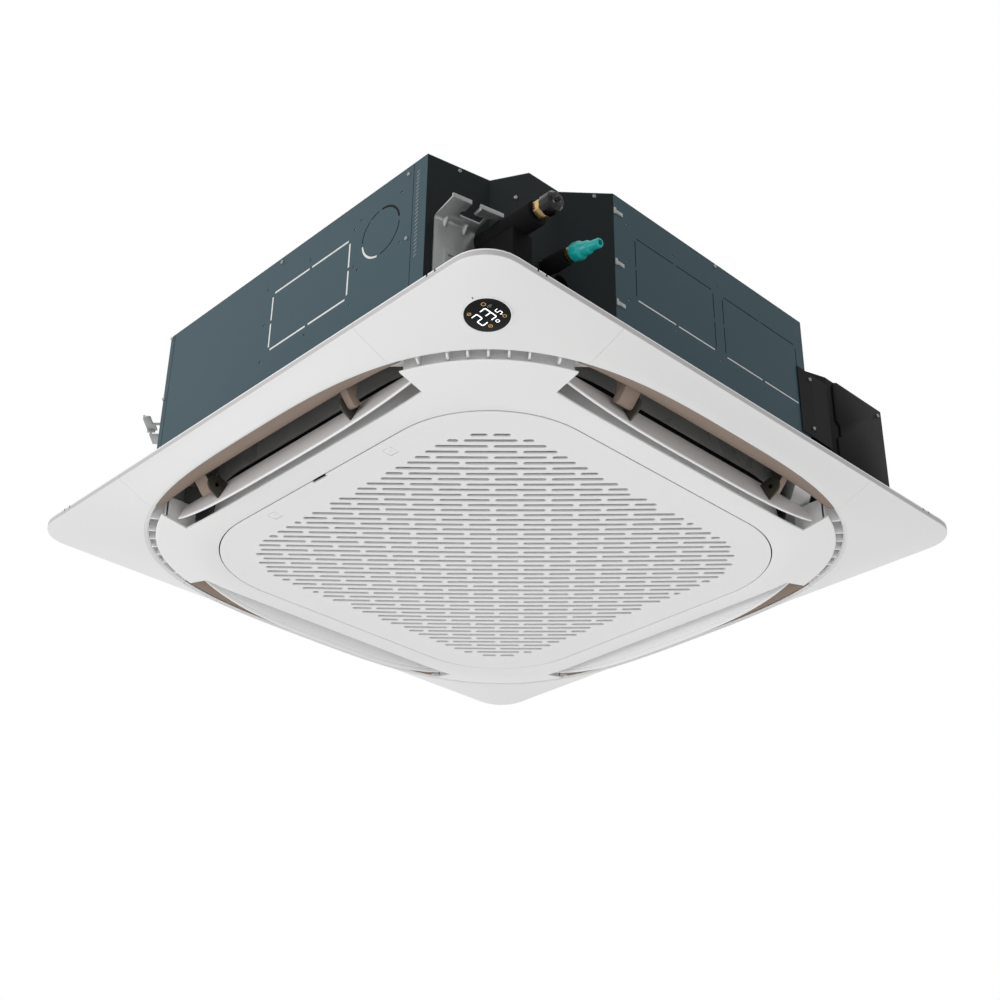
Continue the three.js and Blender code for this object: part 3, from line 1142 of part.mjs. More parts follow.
function addControlBox() {
  const [low, high, foot, top] = BOX_FLANGE;
  const shell = prism(BOX_PLAN.map(([x, y]) => [x + GAP, y + GAP]), BOX_FOOT, BOX_TOP);
  const flange = block(BODY_HALF + GAP, BODY_HALF + GAP + SHEET, low, high, foot, top);
  const foldPlan = [[BODY_HALF + GAP, high - SHEET], [BODY_HALF + GAP + SHEET, high - SHEET],
    [BOX_PLAN[1][0] + GAP, BOX_PLAN[1][1] + GAP], [BOX_PLAN[1][0] - BOX_FOLD, BOX_PLAN[1][1] - BOX_FOLD]];
  add('control_box', join(shell, flange, prism(foldPlan, foot, top)), BLACK);
  const [, near, far] = BOX_PLAN;
  const lid = block(near[0] + 2 * GAP, near[0] + 2 * GAP + BOX_LID, near[1] + 13, far[1] + GAP, BOX_FOOT, BOX_TOP);
  add('control_box_lid', lid, BLACK);
}

addPanelFrame();
addInnerFrame();
addCornerDucts();
addOutlets();
addGrille();
addBody();
addWaterAndAir();
addFan();
addPipes();
addDrainPump();
addHangers();
addControlBox();

export default unit;
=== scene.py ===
# %% [markdown]
# # A ceiling cassette air conditioner, seen from below
# The unit hangs above a false ceiling, and only its square white panel shows in a room. This lesson
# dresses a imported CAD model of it: most visible mouldings are made again with more facets and
# rounder edges, and the folded sheet body gets its holes, screws and knock-outs.
#
# Sizes are millimetres, as on the drawing, and become metres when points are placed. The origin is
# the middle of the panel on the ceiling plane, Z is up, and the pipes leave at the corner +X, -Y.

# %% Load the frame
import math

import bmesh
import bpy
from mathutils import Matrix, Quaternion, Vector


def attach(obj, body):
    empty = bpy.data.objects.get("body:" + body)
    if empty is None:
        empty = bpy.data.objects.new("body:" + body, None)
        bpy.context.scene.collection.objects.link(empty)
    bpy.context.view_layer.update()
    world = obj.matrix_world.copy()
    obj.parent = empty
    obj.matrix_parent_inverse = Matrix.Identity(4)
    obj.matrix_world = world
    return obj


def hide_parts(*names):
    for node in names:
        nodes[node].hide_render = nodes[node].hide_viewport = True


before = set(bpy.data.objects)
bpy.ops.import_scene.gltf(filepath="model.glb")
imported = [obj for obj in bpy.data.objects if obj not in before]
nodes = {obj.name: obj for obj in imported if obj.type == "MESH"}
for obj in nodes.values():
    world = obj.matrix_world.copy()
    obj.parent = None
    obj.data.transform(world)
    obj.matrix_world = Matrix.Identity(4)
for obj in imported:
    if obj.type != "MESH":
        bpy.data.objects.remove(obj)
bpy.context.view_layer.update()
MM = 0.001

# %% [markdown]
# ## The camera
# The photograph was taken from below, turned 46 degrees to the right of the front. The lens and the
# place were solved on the photograph from the panel's straight edges, so a thin unit keeps its depth.

# %% Place the camera
AZIMUTH, ELEVATION, ROLL = (math.radians(degrees) for degrees in (46.128, -29.352, 0.7375))
back = Vector((math.sin(AZIMUTH) * math.cos(ELEVATION), -math.cos(AZIMUTH) * math.cos(ELEVATION),
               math.sin(ELEVATION)))
camera = bpy.data.objects.new("camera", bpy.data.cameras.new("camera"))
bpy.context.scene.collection.objects.link(camera)
camera.location = (1.4822, -1.4163, -1.1036)
camera.rotation_mode = "QUATERNION"
camera.rotation_quaternion = back.to_track_quat("Z", "Y") @ Quaternion((0, 0, 1), ROLL)
camera.data.sensor_width = 36
camera.data.lens = 57.71
camera.data.clip_start, camera.data.clip_end = 0.05, 50
bpy.context.scene.camera = camera
print("camera at", tuple(camera.location))

# %% [markdown]
# ## Shader sums
# A procedural finish is a sum of noises and masks. Wrapping a socket in a small class lets that sum
# be written as Python, and each operator adds its Math node behind the scenes.

# %% A socket that can be added and multiplied
class Wave:
    def __init__(self, finish, socket):
        self.finish, self.socket = finish, socket

    def _sum(self, operation, first, second):
        return self.finish.node("ShaderNodeMath", {"operation": operation}, [first, second])

    def __add__(self, other):
        return self._sum("ADD", self, other)

    def __radd__(self, other):
        return self._sum("ADD", other, self)

    def __sub__(self, other):
        return self._sum("SUBTRACT", self, other)

    def __rsub__(self, other):
        return self._sum("SUBTRACT", other, self)

    def __mul__(self, other):
        return self._sum("MULTIPLY", self, other)

    def __rmul__(self, other):
        return self._sum("MULTIPLY", other, self)


# %% A finish: one material and its nodes
class Finish:
    def __init__(self, name):
        self.material = bpy.data.materials.new(name)
        self.material.use_nodes = True
        self.tree = self.material.node_tree
        self.surface = self.tree.nodes["Principled BSDF"]
        self.place = self.node("ShaderNodeTexCoord", {}, [], "Object")

    def node(self, kind, settings, values, output=0):
        made = self.tree.nodes.new(kind)
        for name, value in settings.items():
            if name == "stops":
                self._set_ramp(made.color_ramp, value)
            else:
                setattr(made, name, value)
        pairs = values.items() if isinstance(values, dict) else enumerate(values)
        for name, value in pairs:
            self.feed(made.inputs[name], value)
        return Wave(self, made.outputs[output])

    def feed(self, socket, value):
        if isinstance(value, Wave):
            self.tree.links.new(value.socket, socket)
        elif isinstance(value, tuple) and len(value) == 3 and len(socket.default_value) == 4:
            socket.default_value = (*value, 1)
        else:
            socket.default_value = value

    @staticmethod
    def _set_ramp(ramp, stops):
        while len(ramp.elements) < len(stops):
            ramp.elements.new(0.5)
        for element, (position, color) in zip(ramp.elements, stops):
            element.position = position
            element.color = (*color, 1)

    def noise(self, scale, detail=3.0, stretch=(1, 1, 1)):
        spot = self.node("ShaderNodeMapping", {}, {"Vector": self.place, "Scale": stretch})
        return self.node("ShaderNodeTexNoise", {}, {"Vector": spot, "Scale": scale, "Detail": detail})

    def blend(self, share, first, second):
        return self.node("ShaderNodeMix", {"data_type": "RGBA"}, {0: share, 6: first, 7: second}, 2)

    def bump(self, height, distance, strength=1.0):
        return self.node("ShaderNodeBump", {}, {"Height": height, "Distance": distance, "Strength": strength})

    def set(self, **values):
        for name, value in values.items():
            self.feed(self.surface.inputs[name.replace("_", " ")], value)
        return self


# %% [markdown]
# ## The white mouldings
# ABS panels have a very fine spark texture from the mould and are never quite even in colour. A fine
# noise gives the texture through a bump a few hundredths of a millimetre deep, and a broad one tints
# the white by a percent or two.

# %% Make the white finishes
def moulded(name, light, dark, roughness):
    finish = Finish(name)
    cloud = finish.noise(6)
    grain = finish.noise(1800, 2)
    shine = finish.noise(40) * 0.06 + (roughness - 0.03)
    return finish.set(Base_Color=finish.blend(cloud, dark, light), Roughness=shine,
                      Normal=finish.bump(grain, 0.00002, 0.5))


panel_white = moulded("panel white", (0.87, 0.87, 0.868), (0.84, 0.84, 0.838), 0.42)
grille_white = moulded("grille white", (0.86, 0.861, 0.86), (0.83, 0.831, 0.83), 0.45)
# lighter than the panel's white: painted light against the shade deep in the outlets
blade_lit_white = moulded("blade white, painted light", (0.93, 0.925, 0.93), (0.90, 0.895, 0.90), 0.4)
inner_white = moulded("inner white", (0.66, 0.66, 0.65), (0.60, 0.60, 0.59), 0.5)
foam_white = moulded("foam white", (0.88, 0.88, 0.87), (0.80, 0.80, 0.79), 0.8)
print("finishes:", len(bpy.data.materials))

# %% [markdown]
# ## The skin's white
# The panel's skin is the same white, but the side of its thin rim is painted duller as shade, and a band by
# its back edge is painted lighter as a highlight. It could be cut off as a piece of its own. A mask is
# simpler: the height of each point picks the painted shade or highlight, with a short ramp at each change.

# %% Make the skin's finish
def rim_painted_shade_and_highlight(name):
    finish = moulded(name, (0.845, 0.845, 0.843), (0.82, 0.82, 0.818), 0.42)
    height = finish.node("ShaderNodeSeparateXYZ", {}, [finish.place], 2)
    # side masks the rim's side, which gets painted shade
    side = finish.node("ShaderNodeMapRange", {}, [height, -0.0086, -0.0078])
    edge = finish.node("ShaderNodeMapRange", {}, [height, -0.0019, -0.0015])
    face = Wave(finish, finish.surface.inputs["Base Color"].links[0].from_socket)
    painted_rim_shade = finish.blend(side, face, (0.56, 0.545, 0.545))
    # the lighter white on the band by the back edge is a painted highlight
    return finish.set(Base_Color=finish.blend(edge, painted_rim_shade, (0.90, 0.90, 0.90)))


skin_white = rim_painted_shade_and_highlight("skin white, painted rim shade and highlight")

# %% [markdown]
# ## Coated sheet steel
# The body is galvanized sheet with a thin blue-grey coat. It is smooth but not a mirror: rolling leaves
# long faint streaks, and the coat's gloss wanders. Streaks are noise stretched along the roll.

# %% Make the sheet finishes
def sheet_metal(name, light, dark, metallic, roughness, stretch=(3, 3, 40), shine=0.5):
    finish = Finish(name)
    streak = finish.noise(9, 4, stretch)
    cloud = finish.noise(5)
    grain = finish.noise(900, 2)
    return finish.set(Base_Color=finish.blend(streak * 0.5 + cloud * 0.5, dark, light), Metallic=metallic,
                      Roughness=roughness - 0.06 + cloud * 0.12, Specular_IOR_Level=shine,
                      Normal=finish.bump(grain, 0.00002, 0.4))


casing_steel = sheet_metal("casing steel", (0.036, 0.082, 0.103), (0.026, 0.065, 0.084), 0.0, 0.42,
                           shine=0.25)
# a darker copy of the casing steel: the shade on the recess walls is painted into it
recess_shaded_steel = sheet_metal("recess steel, painted shade", (0.014, 0.020, 0.021), (0.008, 0.012, 0.013), 0.0, 0.5,
                           shine=0.15)
zinc = sheet_metal("zinc plate", (0.56, 0.58, 0.57), (0.36, 0.38, 0.37), 0.8, 0.4, (20, 20, 4))
bare_fins = sheet_metal("coil fins", (0.62, 0.63, 0.64), (0.30, 0.31, 0.32), 0.8, 0.4, (220, 220, 1))
copper = sheet_metal("copper", (0.72, 0.36, 0.22), (0.52, 0.24, 0.14), 0.95, 0.32)
brass = sheet_metal("brass", (0.74, 0.54, 0.26), (0.52, 0.35, 0.13), 0.95, 0.28)

# %% [markdown]
# ## Flock, foam and dark plastics
# The outlets' outer walls wear a tan flock that keeps dew from forming: short fibres with no gloss.
# The drain pan's wall beside them is a dark grey skin with a soft highlight, and the insulation on
# the pipes is closed-cell rubber foam with a pitted skin.

# %% Make the dark and soft finishes
def flocked(name, light, dark):
    finish = Finish(name)
    fibre = finish.noise(900, 4, (1, 1, 2))
    patch = finish.noise(25)
    return finish.set(Base_Color=finish.blend(fibre * 0.6 + patch * 0.4, dark, light), Roughness=0.95,
                      Normal=finish.bump(fibre, 0.0003, 0.6))


def dark_plastic(name, light, dark, roughness, pits=500, depth=0.00003, shine=0.5):
    finish = Finish(name)
    cloud = finish.noise(14)
    grain = finish.noise(pits, 3)
    return finish.set(Base_Color=finish.blend(cloud, dark, light), Roughness=roughness - 0.08 + cloud * 0.16,
                      Specular_IOR_Level=shine, Normal=finish.bump(grain, depth, 0.6))


tan_flock = flocked("tan flock", (0.36, 0.285, 0.235), (0.22, 0.165, 0.13))
pan_grey = dark_plastic("pan skin", (0.36, 0.36, 0.355), (0.27, 0.27, 0.265), 0.30, 120, 0.0001)
black_plastic = dark_plastic("black plastic", (0.008, 0.008, 0.009), (0.004, 0.004, 0.005), 0.5, shine=0.1)
gloss_black = dark_plastic("gloss black", (0.006, 0.006, 0.007), (0.003, 0.003, 0.004), 0.14, shine=0.45)
rubber_foam = dark_plastic("rubber foam", (0.008, 0.008, 0.009), (0.004, 0.004, 0.005), 0.72, 260, 0.0004,
                           shine=0.1)
olive = dark_plastic("olive plastic", (0.055, 0.05, 0.036), (0.03, 0.028, 0.02), 0.42)
fan_grey = dark_plastic("fan grey", (0.13, 0.135, 0.14), (0.09, 0.095, 0.10), 0.5)
teal = dark_plastic("teal cap", (0.008, 0.46, 0.44), (0.006, 0.38, 0.36), 0.3, 300, 0.00002)
lens_black = dark_plastic("lens black", (0.004, 0.004, 0.005), (0.002, 0.002, 0.003), 0.16, 300, 0.000002,
                          shine=0.2)
print("finishes:", len(bpy.data.materials))


# %% [markdown]
# ## Filter net
# The filter is a plastic net. At this scale its mesh reads as a grey cloth with a fine square weave,
# so two crossed sine waves make both its colour and its relief.

# %% Make the net and the glowing marks
def netted(name):
    finish = Finish(name)
    thread = {"Vector": finish.place, "Scale": 300}
    warp, weft = (finish.node("ShaderNodeTexWave", {"bands_direction": way}, thread) for way in "XY")
    weave = warp * 0.5 + weft * 0.5
    return finish.set(Base_Color=finish.blend(weave, (0.30, 0.30, 0.30), (0.52, 0.52, 0.515)), Roughness=0.8,
                      Normal=finish.bump(weave, 0.0002, 0.6))


def glowing(name, color, strength):
    finish = Finish(name)
    speck = finish.noise(400) * 0.2 + 0.9
    tint = finish.blend(speck, (0, 0, 0), color)
    return finish.set(Base_Color=tint, Emission_Color=tint, Emission_Strength=strength, Roughness=0.4)


net = netted("filter net")
lit_white = glowing("lit white", (0.95, 0.97, 1.0), 1.2)
lit_amber = glowing("lit amber", (0.62, 0.36, 0.12), 0.28)
lit_faint = glowing("lit faint", (0.30, 0.30, 0.31), 0.10)

# %% [markdown]
# ## Making solids by hand
# Every moulding here is a run of matching rings. A circle is added with the right number of points,
# the points go to the first ring, and the edge is extruded from ring to ring. A number kept on each
# point says which place it has in its ring, because extruding copies that number too.

# %% Loft a piece from rings
def deselect():
    if bpy.context.object and bpy.context.object.mode != "OBJECT":
        bpy.ops.object.mode_set(mode="OBJECT")
    bpy.ops.object.select_all(action="DESELECT")


def take_up(piece):
    deselect()
    piece.select_set(True)
    bpy.context.view_layer.objects.active = piece
    return piece


def move_chosen(work, spot, ring):
    for vertex in work.verts:
        if vertex.select:
            vertex.co = Vector(ring[vertex[spot]]) * MM


def loft(rings, closed=False):
    deselect()
    bpy.ops.mesh.primitive_circle_add(vertices=len(rings[0]), radius=1)
    piece = bpy.context.object
    bpy.ops.object.mode_set(mode="EDIT")
    work = bmesh.from_edit_mesh(piece.data)
    spot = work.verts.layers.int.new("spot")
    for number, vertex in enumerate(work.verts):
        vertex[spot] = number
    move_chosen(work, spot, rings[0])
    for ring in rings[1:] + (rings[:1] if closed else []):
        bmesh.update_edit_mesh(piece.data)
        bpy.ops.mesh.extrude_edges_move()
        work = bmesh.from_edit_mesh(piece.data)
        spot = work.verts.layers.int["spot"]
        move_chosen(work, spot, ring)
    bmesh.update_edit_mesh(piece.data)
    bpy.ops.mesh.select_all(action="SELECT")
    if closed:
        bpy.ops.mesh.remove_doubles(threshold=1e-7)
    else:
        bpy.ops.mesh.fill_holes(sides=0)
    bpy.ops.mesh.select_all(action="SELECT")
    bpy.ops.mesh.normals_make_consistent(inside=False)
    bpy.ops.object.mode_set(mode="OBJECT")
    return piece


# %% Prisms, boxes and turned pieces are lofts too
def prism(outline, low, high):
    return loft([[(x, y, z) for x, y in outline] for z in (low, high)])


def across(outline, start, end):
    """A bar along X whose section is given as places in Y and Z."""
    return loft([[(x, y, z) for y, z in outline] for x in (start, end)])


def box(x0, x1, y0, y1, z0, z1):
    return prism([(x0, y0), (x1, y0), (x1, y1), (x0, y1)], z0, z1)


def turned(profile, sides, place=Matrix()):
    """A solid of revolution about Z, whose profile is given as radius and height."""
    turn = [2 * math.pi * i / sides for i in range(sides)]
    return loft([[place @ Vector((r * math.cos(a), r * math.sin(a), z)) for a in turn] for r, z in profile])


def revolved(profile, sides, place=Matrix()):
    """The same for a profile that closes on itself, such as a tube's wall."""
    turn = [2 * math.pi * i / sides for i in range(sides)]
    return loft([[place @ Vector((r * math.cos(a), r * math.sin(a), z)) for r, z in profile] for a in turn],
                closed=True)


def arc(x, y, radius, degrees):
    return [(x + radius * math.cos(math.radians(a)), y + radius * math.sin(math.radians(a))) for a in degrees]


# %% Edge tools: keep one side of a plane, carve, round, join
def keep_side(piece, point, direction):
    take_up(piece)
    bpy.ops.object.mode_set(mode="EDIT")
    bpy.ops.mesh.select_all(action="SELECT")
    bpy.ops.mesh.bisect(plane_co=Vector(point) * MM, plane_no=direction, use_fill=True, clear_inner=True)
    bpy.ops.object.mode_set(mode="OBJECT")
    return piece


def settle(piece, modifier):
    take_up(piece)
    bpy.ops.object.modifier_apply(modifier=modifier.name)
    return piece


def joined(pieces):
    take_up(pieces[0])
    for piece in pieces:
        piece.select_set(True)
    if len(pieces) > 1:
        bpy.ops.object.join()
    return pieces[0]


def carve(piece, *tools, operation="DIFFERENCE", crossing=False):
    tool = joined(list(tools))
    modifier = piece.modifiers.new("carve", "BOOLEAN")
    modifier.object, modifier.operation, modifier.solver = tool, operation, "EXACT"
    modifier.use_self = crossing
    settle(piece, modifier)
    bpy.data.objects.remove(tool)
    return piece


def rounded(piece, width, segments=2, angle=35):
    modifier = piece.modifiers.new("round", "BEVEL")
    modifier.width, modifier.segments = width * MM, segments
    modifier.limit_method, modifier.angle_limit = "ANGLE", math.radians(angle)
    return settle(piece, modifier)


def placed(piece, place):
    """A copy set by a matrix whose places are millimetres."""
    return copied(piece, Matrix.Scale(MM, 4) @ place @ Matrix.Scale(1 / MM, 4))


def copied(piece, matrix):
    twin = piece.copy()
    twin.data = piece.data.copy()
    bpy.context.scene.collection.objects.link(twin)
    twin.data.transform(matrix)
    if matrix.determinant() < 0:
        twin.data.flip_normals()
    return twin


def quarter(turns):
    return Matrix.Rotation(turns * math.pi / 2, 4, "Z")


MIRROR_X = Matrix.Scale(-1, 4, (1, 0, 0))


# %% Dress a finished piece
dressed = []


def dress(piece, name, finish, body="unit", replaces=(), smooth=30):
    take_up(piece)
    bpy.ops.object.shade_smooth_by_angle(angle=math.radians(smooth))
    piece.name = piece.data.name = name
    piece.data.materials.clear()
    piece.data.materials.append(finish.material)
    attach(piece, body)
    if replaces:
        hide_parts(*replaces)
    dressed.append(name)
    return piece


# %% [markdown]
# ## Plan curves
# The rim is a square with rounded corners, but the outlet opening is a squircle, the curve
# |x|^n + |y|^n = a^n. Points are taken at the same angles on both, closer together towards the
# corners, where the curves bend most.

# %% Curves of the panel
SQUARENESS = 3.2
STEPS = 26


def ring_angles():
    shares = [(step, 1 - (1 - abs(step) / STEPS) ** 2) for step in range(-STEPS, STEPS)]
    return [math.radians(side * 90 + math.copysign(45 * share, step))
            for side in range(4) for step, share in shares]


def squircle(reach, z):
    def curve(angle):
        total = abs(math.cos(angle)) ** SQUARENESS + abs(math.sin(angle)) ** SQUARENESS
        radius = reach / total ** (1 / SQUARENESS)
        return Vector((radius * math.cos(angle), radius * math.sin(angle), z))
    return curve


def squircle_side(reach, x):
    return reach * (1 - abs(x / reach) ** SQUARENESS) ** (1 / SQUARENESS)


def square(half, corner, z):
    def curve(angle):
        c, s = abs(math.cos(angle)), abs(math.sin(angle))
        radius = half / max(c, s)
        middle = half - corner
        if radius * min(c, s) > middle:
            along = middle * (c + s)
            radius = along + math.sqrt(along ** 2 - 2 * middle ** 2 + corner ** 2)
        return Vector((radius * math.cos(angle), radius * math.sin(angle), z))
    return curve


def band(curves):
    angles = ring_angles()
    return loft([[curve(angle) for angle in angles] for curve in curves], closed=True)


def plan(half, corner):
    return [tuple(square(half, corner, 0)(angle))[:2] for angle in ring_angles()]


def between(near, far, share):
    return lambda angle: near(angle).lerp(far(angle), share)


# %% [markdown]
# ## The panel frame and its corner covers
# One skin runs from the rim to the outlets, with two thin steps round the opening. Its corners come
# off so that the hanging rods can be reached, so the seams are real gaps: the skin is made once and
# cut by planes, and each part keeps its own side.

# %% Loft the skin
rim, mouth = square(473.6, 48.6, -9.0), squircle(443.4, -30.9)
SKIN = [square(475, 50, 0), square(475, 50, -7.9), square(474.6, 49.6, -8.7), rim,
        between(rim, mouth, 0.25), between(rim, mouth, 0.5), between(rim, mouth, 0.75), mouth,
        squircle(442.4, -31.0), squircle(441.9, -30.6), squircle(441.7, -30.1), squircle(440.5, -30.1),
        squircle(440.2, -29.3), squircle(438.7, -29.3), squircle(438.3, -28.8), squircle(438.3, -27.8),
        squircle(442, -27.8), square(472, 47, -6), square(472, 47, -3.0)]
skin = band(SKIN)
COVER_SEAM, SEAM_HALF = 250, 0.16
print("skin points:", len(skin.data.vertices))


# %% Cut it into four sides and four covers
def cover_corner(piece):
    keep_side(piece, (COVER_SEAM + SEAM_HALF, 0, 0), (1, 0, 0))
    return keep_side(piece, (0, -COVER_SEAM - SEAM_HALF, 0), (0, -1, 0))


def frame_side(piece):
    keep_side(piece, (0, -10, 0), (0, -1, 0))
    keep_side(piece, (COVER_SEAM - SEAM_HALF, 0, 0), (-1, 0, 0))
    return keep_side(piece, (-COVER_SEAM + SEAM_HALF, 0, 0), (1, 0, 0))


SIDES = ("front", "right", "back", "left")
CORNERS = ("front_right", "back_right", "back_left", "front_left")
side, cover = frame_side(copied(skin, quarter(0))), cover_corner(copied(skin, quarter(0)))
bpy.data.objects.remove(skin)
NICKS = (379.5, 393)
carve(cover, *[box(x - 1.4, x + 1.4, -476, -474, -3.4, 0.5) for x in NICKS],
      *[box(474, 476, -x - 1.4, -x + 1.4, -3.4, 0.5) for x in NICKS])
for turns, (side_name, corner_name) in enumerate(zip(SIDES, CORNERS)):
    dress(copied(side, quarter(turns)), f"frame_{side_name}", skin_white)
    dress(copied(cover, quarter(turns)), f"cover_{corner_name}", skin_white,
          replaces=[f"corner_cover_{corner_name}"])
for spare in (side, cover):
    bpy.data.objects.remove(spare)

# %% [markdown]
# ## The backing ring
# Above the skin a flat ring closes the panel's back. Snap notches by the corners show as small dark nicks in
# the rim, and black blocks in the notches are painted shade. A dark foam strip on the rim's back draws a fine
# dark line between the panel and the body: a painted shadow line.

# %% Make the backing ring, the nicks and the seal
ring = band([square(474.2, 49.2, -0.2), square(474.2, 49.2, -2.9), squircle(446, -2.9), squircle(446, -0.2)])
dress(rounded(ring, 0.4, 1), "backing_ring", panel_white, replaces=["panel_frame"])
# black blocks in the snap notches paint the shade inside them
notch_shade_blocks = []
for x in (*NICKS, *(-place for place in NICKS)):
    notch_shade_block = box(x - 1.2, x + 1.2, -474.5, -473.9, -3.1, -0.6)
    notch_shade_blocks += [copied(notch_shade_block, quarter(turns)) for turns in range(4)]
    bpy.data.objects.remove(notch_shade_block)
dress(joined(notch_shade_blocks), "rim_notch_shade", black_plastic)
# a dark strip on the rim's back that draws the shadow line between panel and body: painted shadow
shadow_strip = band([square(473.5, 48.5, 0), square(473.5, 48.5, 1.6), square(466, 41, 1.6), square(466, 41, 0)])
dress(shadow_strip, "rim_shadow_line", rubber_foam)

# %% [markdown]
# ## The inner frame
# The white band between the outlets and the grille is one moulding with a rolled outer edge. Slots
# with slanting ends are cut for the louvres, and the cut edges are rounded so that they catch light.

# %% Loft the inner frame and cut the slots
LIP = 361.4
inner = band([square(325.6, 155, -47.7), square(326.2, 155.6, -48), square(LIP, 175, -46.2),
              squircle(424.8, -36.5), squircle(426.4, -36.0), squircle(427.3, -35.0), squircle(427.3, -33.9),
              squircle(426.6, -33.2), square(LIP, 175, -43.7), square(325.6, 155, -45.5)])
SLOT_END, SLOT_OUT = 247, 446
slot_wide = SLOT_END + 3 * (SLOT_OUT - LIP) / (401 - LIP)
slot_plan = [(-SLOT_END, -LIP), (-slot_wide, -SLOT_OUT), (slot_wide, -SLOT_OUT), (SLOT_END, -LIP)]
slot_tool = prism(slot_plan, -50, -28)
carve(inner, *[copied(slot_tool, quarter(turns)) for turns in range(4)])
bpy.data.objects.remove(slot_tool)
rounded(inner, 1.0, 3, 40)
print("inner frame points:", len(inner.data.vertices))

# %% Stand the intake well and the hinge ears on it
WELL_HALF, WELL_CORNER = 347, 200
HINGE_Y, HINGE_Z, BARREL = 334, -41.5, 3.1
ALONG_X = Matrix.Rotation(math.pi / 2, 4, "Y")


def well_plan(inset=0.0):
    return plan(WELL_HALF - inset, WELL_CORNER - inset)


def barrel(start, end, radius=BARREL):
    return turned([(radius, start), (radius, end)], 24, Matrix.Translation((0, HINGE_Y, HINGE_Z)) @ ALONG_X)


def hinge_ear(x):
    return [box(x - 2, x + 2, HINGE_Y - BARREL, HINGE_Y + BARREL, -46.7, HINGE_Z), barrel(x - 2, x + 2)]


well = carve(prism(well_plan(), -45.2, 15.7), prism(well_plan(3), -50, 20))
dress(joined([inner, well, *hinge_ear(-140), *hinge_ear(140)]), "inner_band", panel_white,
      replaces=["inner_frame"])
# a black foam band round the top of the well is painted shadow: it darkens the wall above the blades, below
# the pan's edge
well_shadow_band = carve(prism(well_plan(-0.8), 2, 15.6), prism(well_plan(-0.05), 0, 20))
dress(well_shadow_band, "well_shadow_band", rubber_foam)

# %% [markdown]
# ## Corner ducts
# Between two outlets the air is led round the corner through a shallow channel with seven fins. The
# channel is lofted along the squircle, the fins are wedges, and a thin wall at each end of it closes
# the outlet beside it.

# %% Loft one channel
CHANNEL = [(439.4, -27.5), (439.4, -5.7), (452, -5.7), (452, -3.3), (419.5, -3.3), (419.5, -34), (421.9, -34),
           (421.9, -5.7), (437.0, -5.7), (437.0, -27.5)]
stations = [math.radians(-90 + 31 + (90 - 62) * i / 24) for i in range(25)]
channel = loft([[squircle(reach, z)(angle) for reach, z in CHANNEL] for angle in stations])
keep_side(channel, (250.3, 0, 0), (1, 0, 0))
keep_side(channel, (0, -250.3, 0), (0, -1, 0))


# %% Set the fins and close the slot ends
def fin(offset):
    angle = math.radians(-45 + offset)
    near, far = squircle(420.5, 0)(angle).length, squircle(437.2, 0)(angle).length
    wedge = prism([(near, -2.0), (far, -1.2), (far, 1.2), (near, 2.0)], -30.5, -4.2)
    rounded(wedge, 0.7, 2)
    wedge.data.transform(Matrix.Rotation(angle, 4, "Z"))
    return wedge


def end_wall():
    inside, outside = squircle_side(419.5, 250), squircle_side(439.4, 250) - 2.4
    outline = [(347.3, -42.6), (349, -42.6), (inside, -34), (inside + 2.4, -34), (inside + 2.4, -5.7),
               (outside, -5.7), (outside, -3.3), (347.3, -3.3)]
    return across([(-d, z) for d, z in outline], 250.3, 252.7)


SWAP = Matrix(((0, -1, 0, 0), (-1, 0, 0, 0), (0, 0, 1, 0), (0, 0, 0, 1)))
wall = end_wall()
duct = joined([channel, *[fin(offset) for offset in (-10.06, -5.73, -2.865, 0, 2.865, 5.73, 10.06)],
               copied(wall, SWAP), wall])
for turns, name in enumerate(CORNERS):
    dress(copied(duct, quarter(turns)), f"duct_{name}", panel_white,
          replaces=[f"corner_duct_{name}"])
bpy.data.objects.remove(duct)

# %% [markdown]
# ## Outlet linings
# The outer wall of each outlet is a quarter-round flare that follows the squircle. Two noses on it
# carry the louvre's pins: a broad one with the gearing, and a slim one.

# %% Loft the flare
def flare(x, share, inset=0.0):
    lip = squircle_side(438.3, x) - 0.3
    wide, high = lip - 387 - inset, 24 + 31 - 3.2 - 0.6 - inset
    angle = share * math.pi / 2
    return lip - wide * math.cos(angle), 24 - high * math.sin(angle)


def flare_ring(x):
    shares = [i / 12 for i in range(13)]
    points = [flare(x, share) for share in shares] + [flare(x, share, 2.5) for share in reversed(shares)]
    return [(x, -d, z) for d, z in points]


lining = loft([flare_ring(250 * (i / 16 - 1)) for i in range(33)])
EAR_X, NOSE_START, PIVOT_OUT, PIVOT_Z = 138.5, 142.7, 389, -28


# %% Add the two noses and drill them for the pins
def nose(width):
    x = NOSE_START + width / 2
    root = [flare(x, share, 1.25) for share in (0.6, 0.5, 0.42, 0.3, 0.2)]
    tip = arc(PIVOT_OUT, PIVOT_Z, 6.5, range(100, 301, 25))
    solid = across([(-d, z) for d, z in root + tip], NOSE_START, NOSE_START + width)
    drill = turned([(3.3, NOSE_START - 1), (3.3, NOSE_START + 7)], 20,
                   Matrix.Translation((0, -PIVOT_OUT, PIVOT_Z)) @ ALONG_X)
    return rounded(carve(solid, drill), 0.5, 2)


def gear_face():
    """The dark face of the gearing, a thin flat plate on the side of a nose that looks along the louvre."""
    root = [flare(0, share, 2.2) for share in (0.6, 0.5, 0.42, 0.3, 0.2)]
    tip = arc(PIVOT_OUT, PIVOT_Z, 5.6, range(100, 301, 25))
    return across([(-d, z) for d, z in root + tip], NOSE_START - 0.8, NOSE_START)


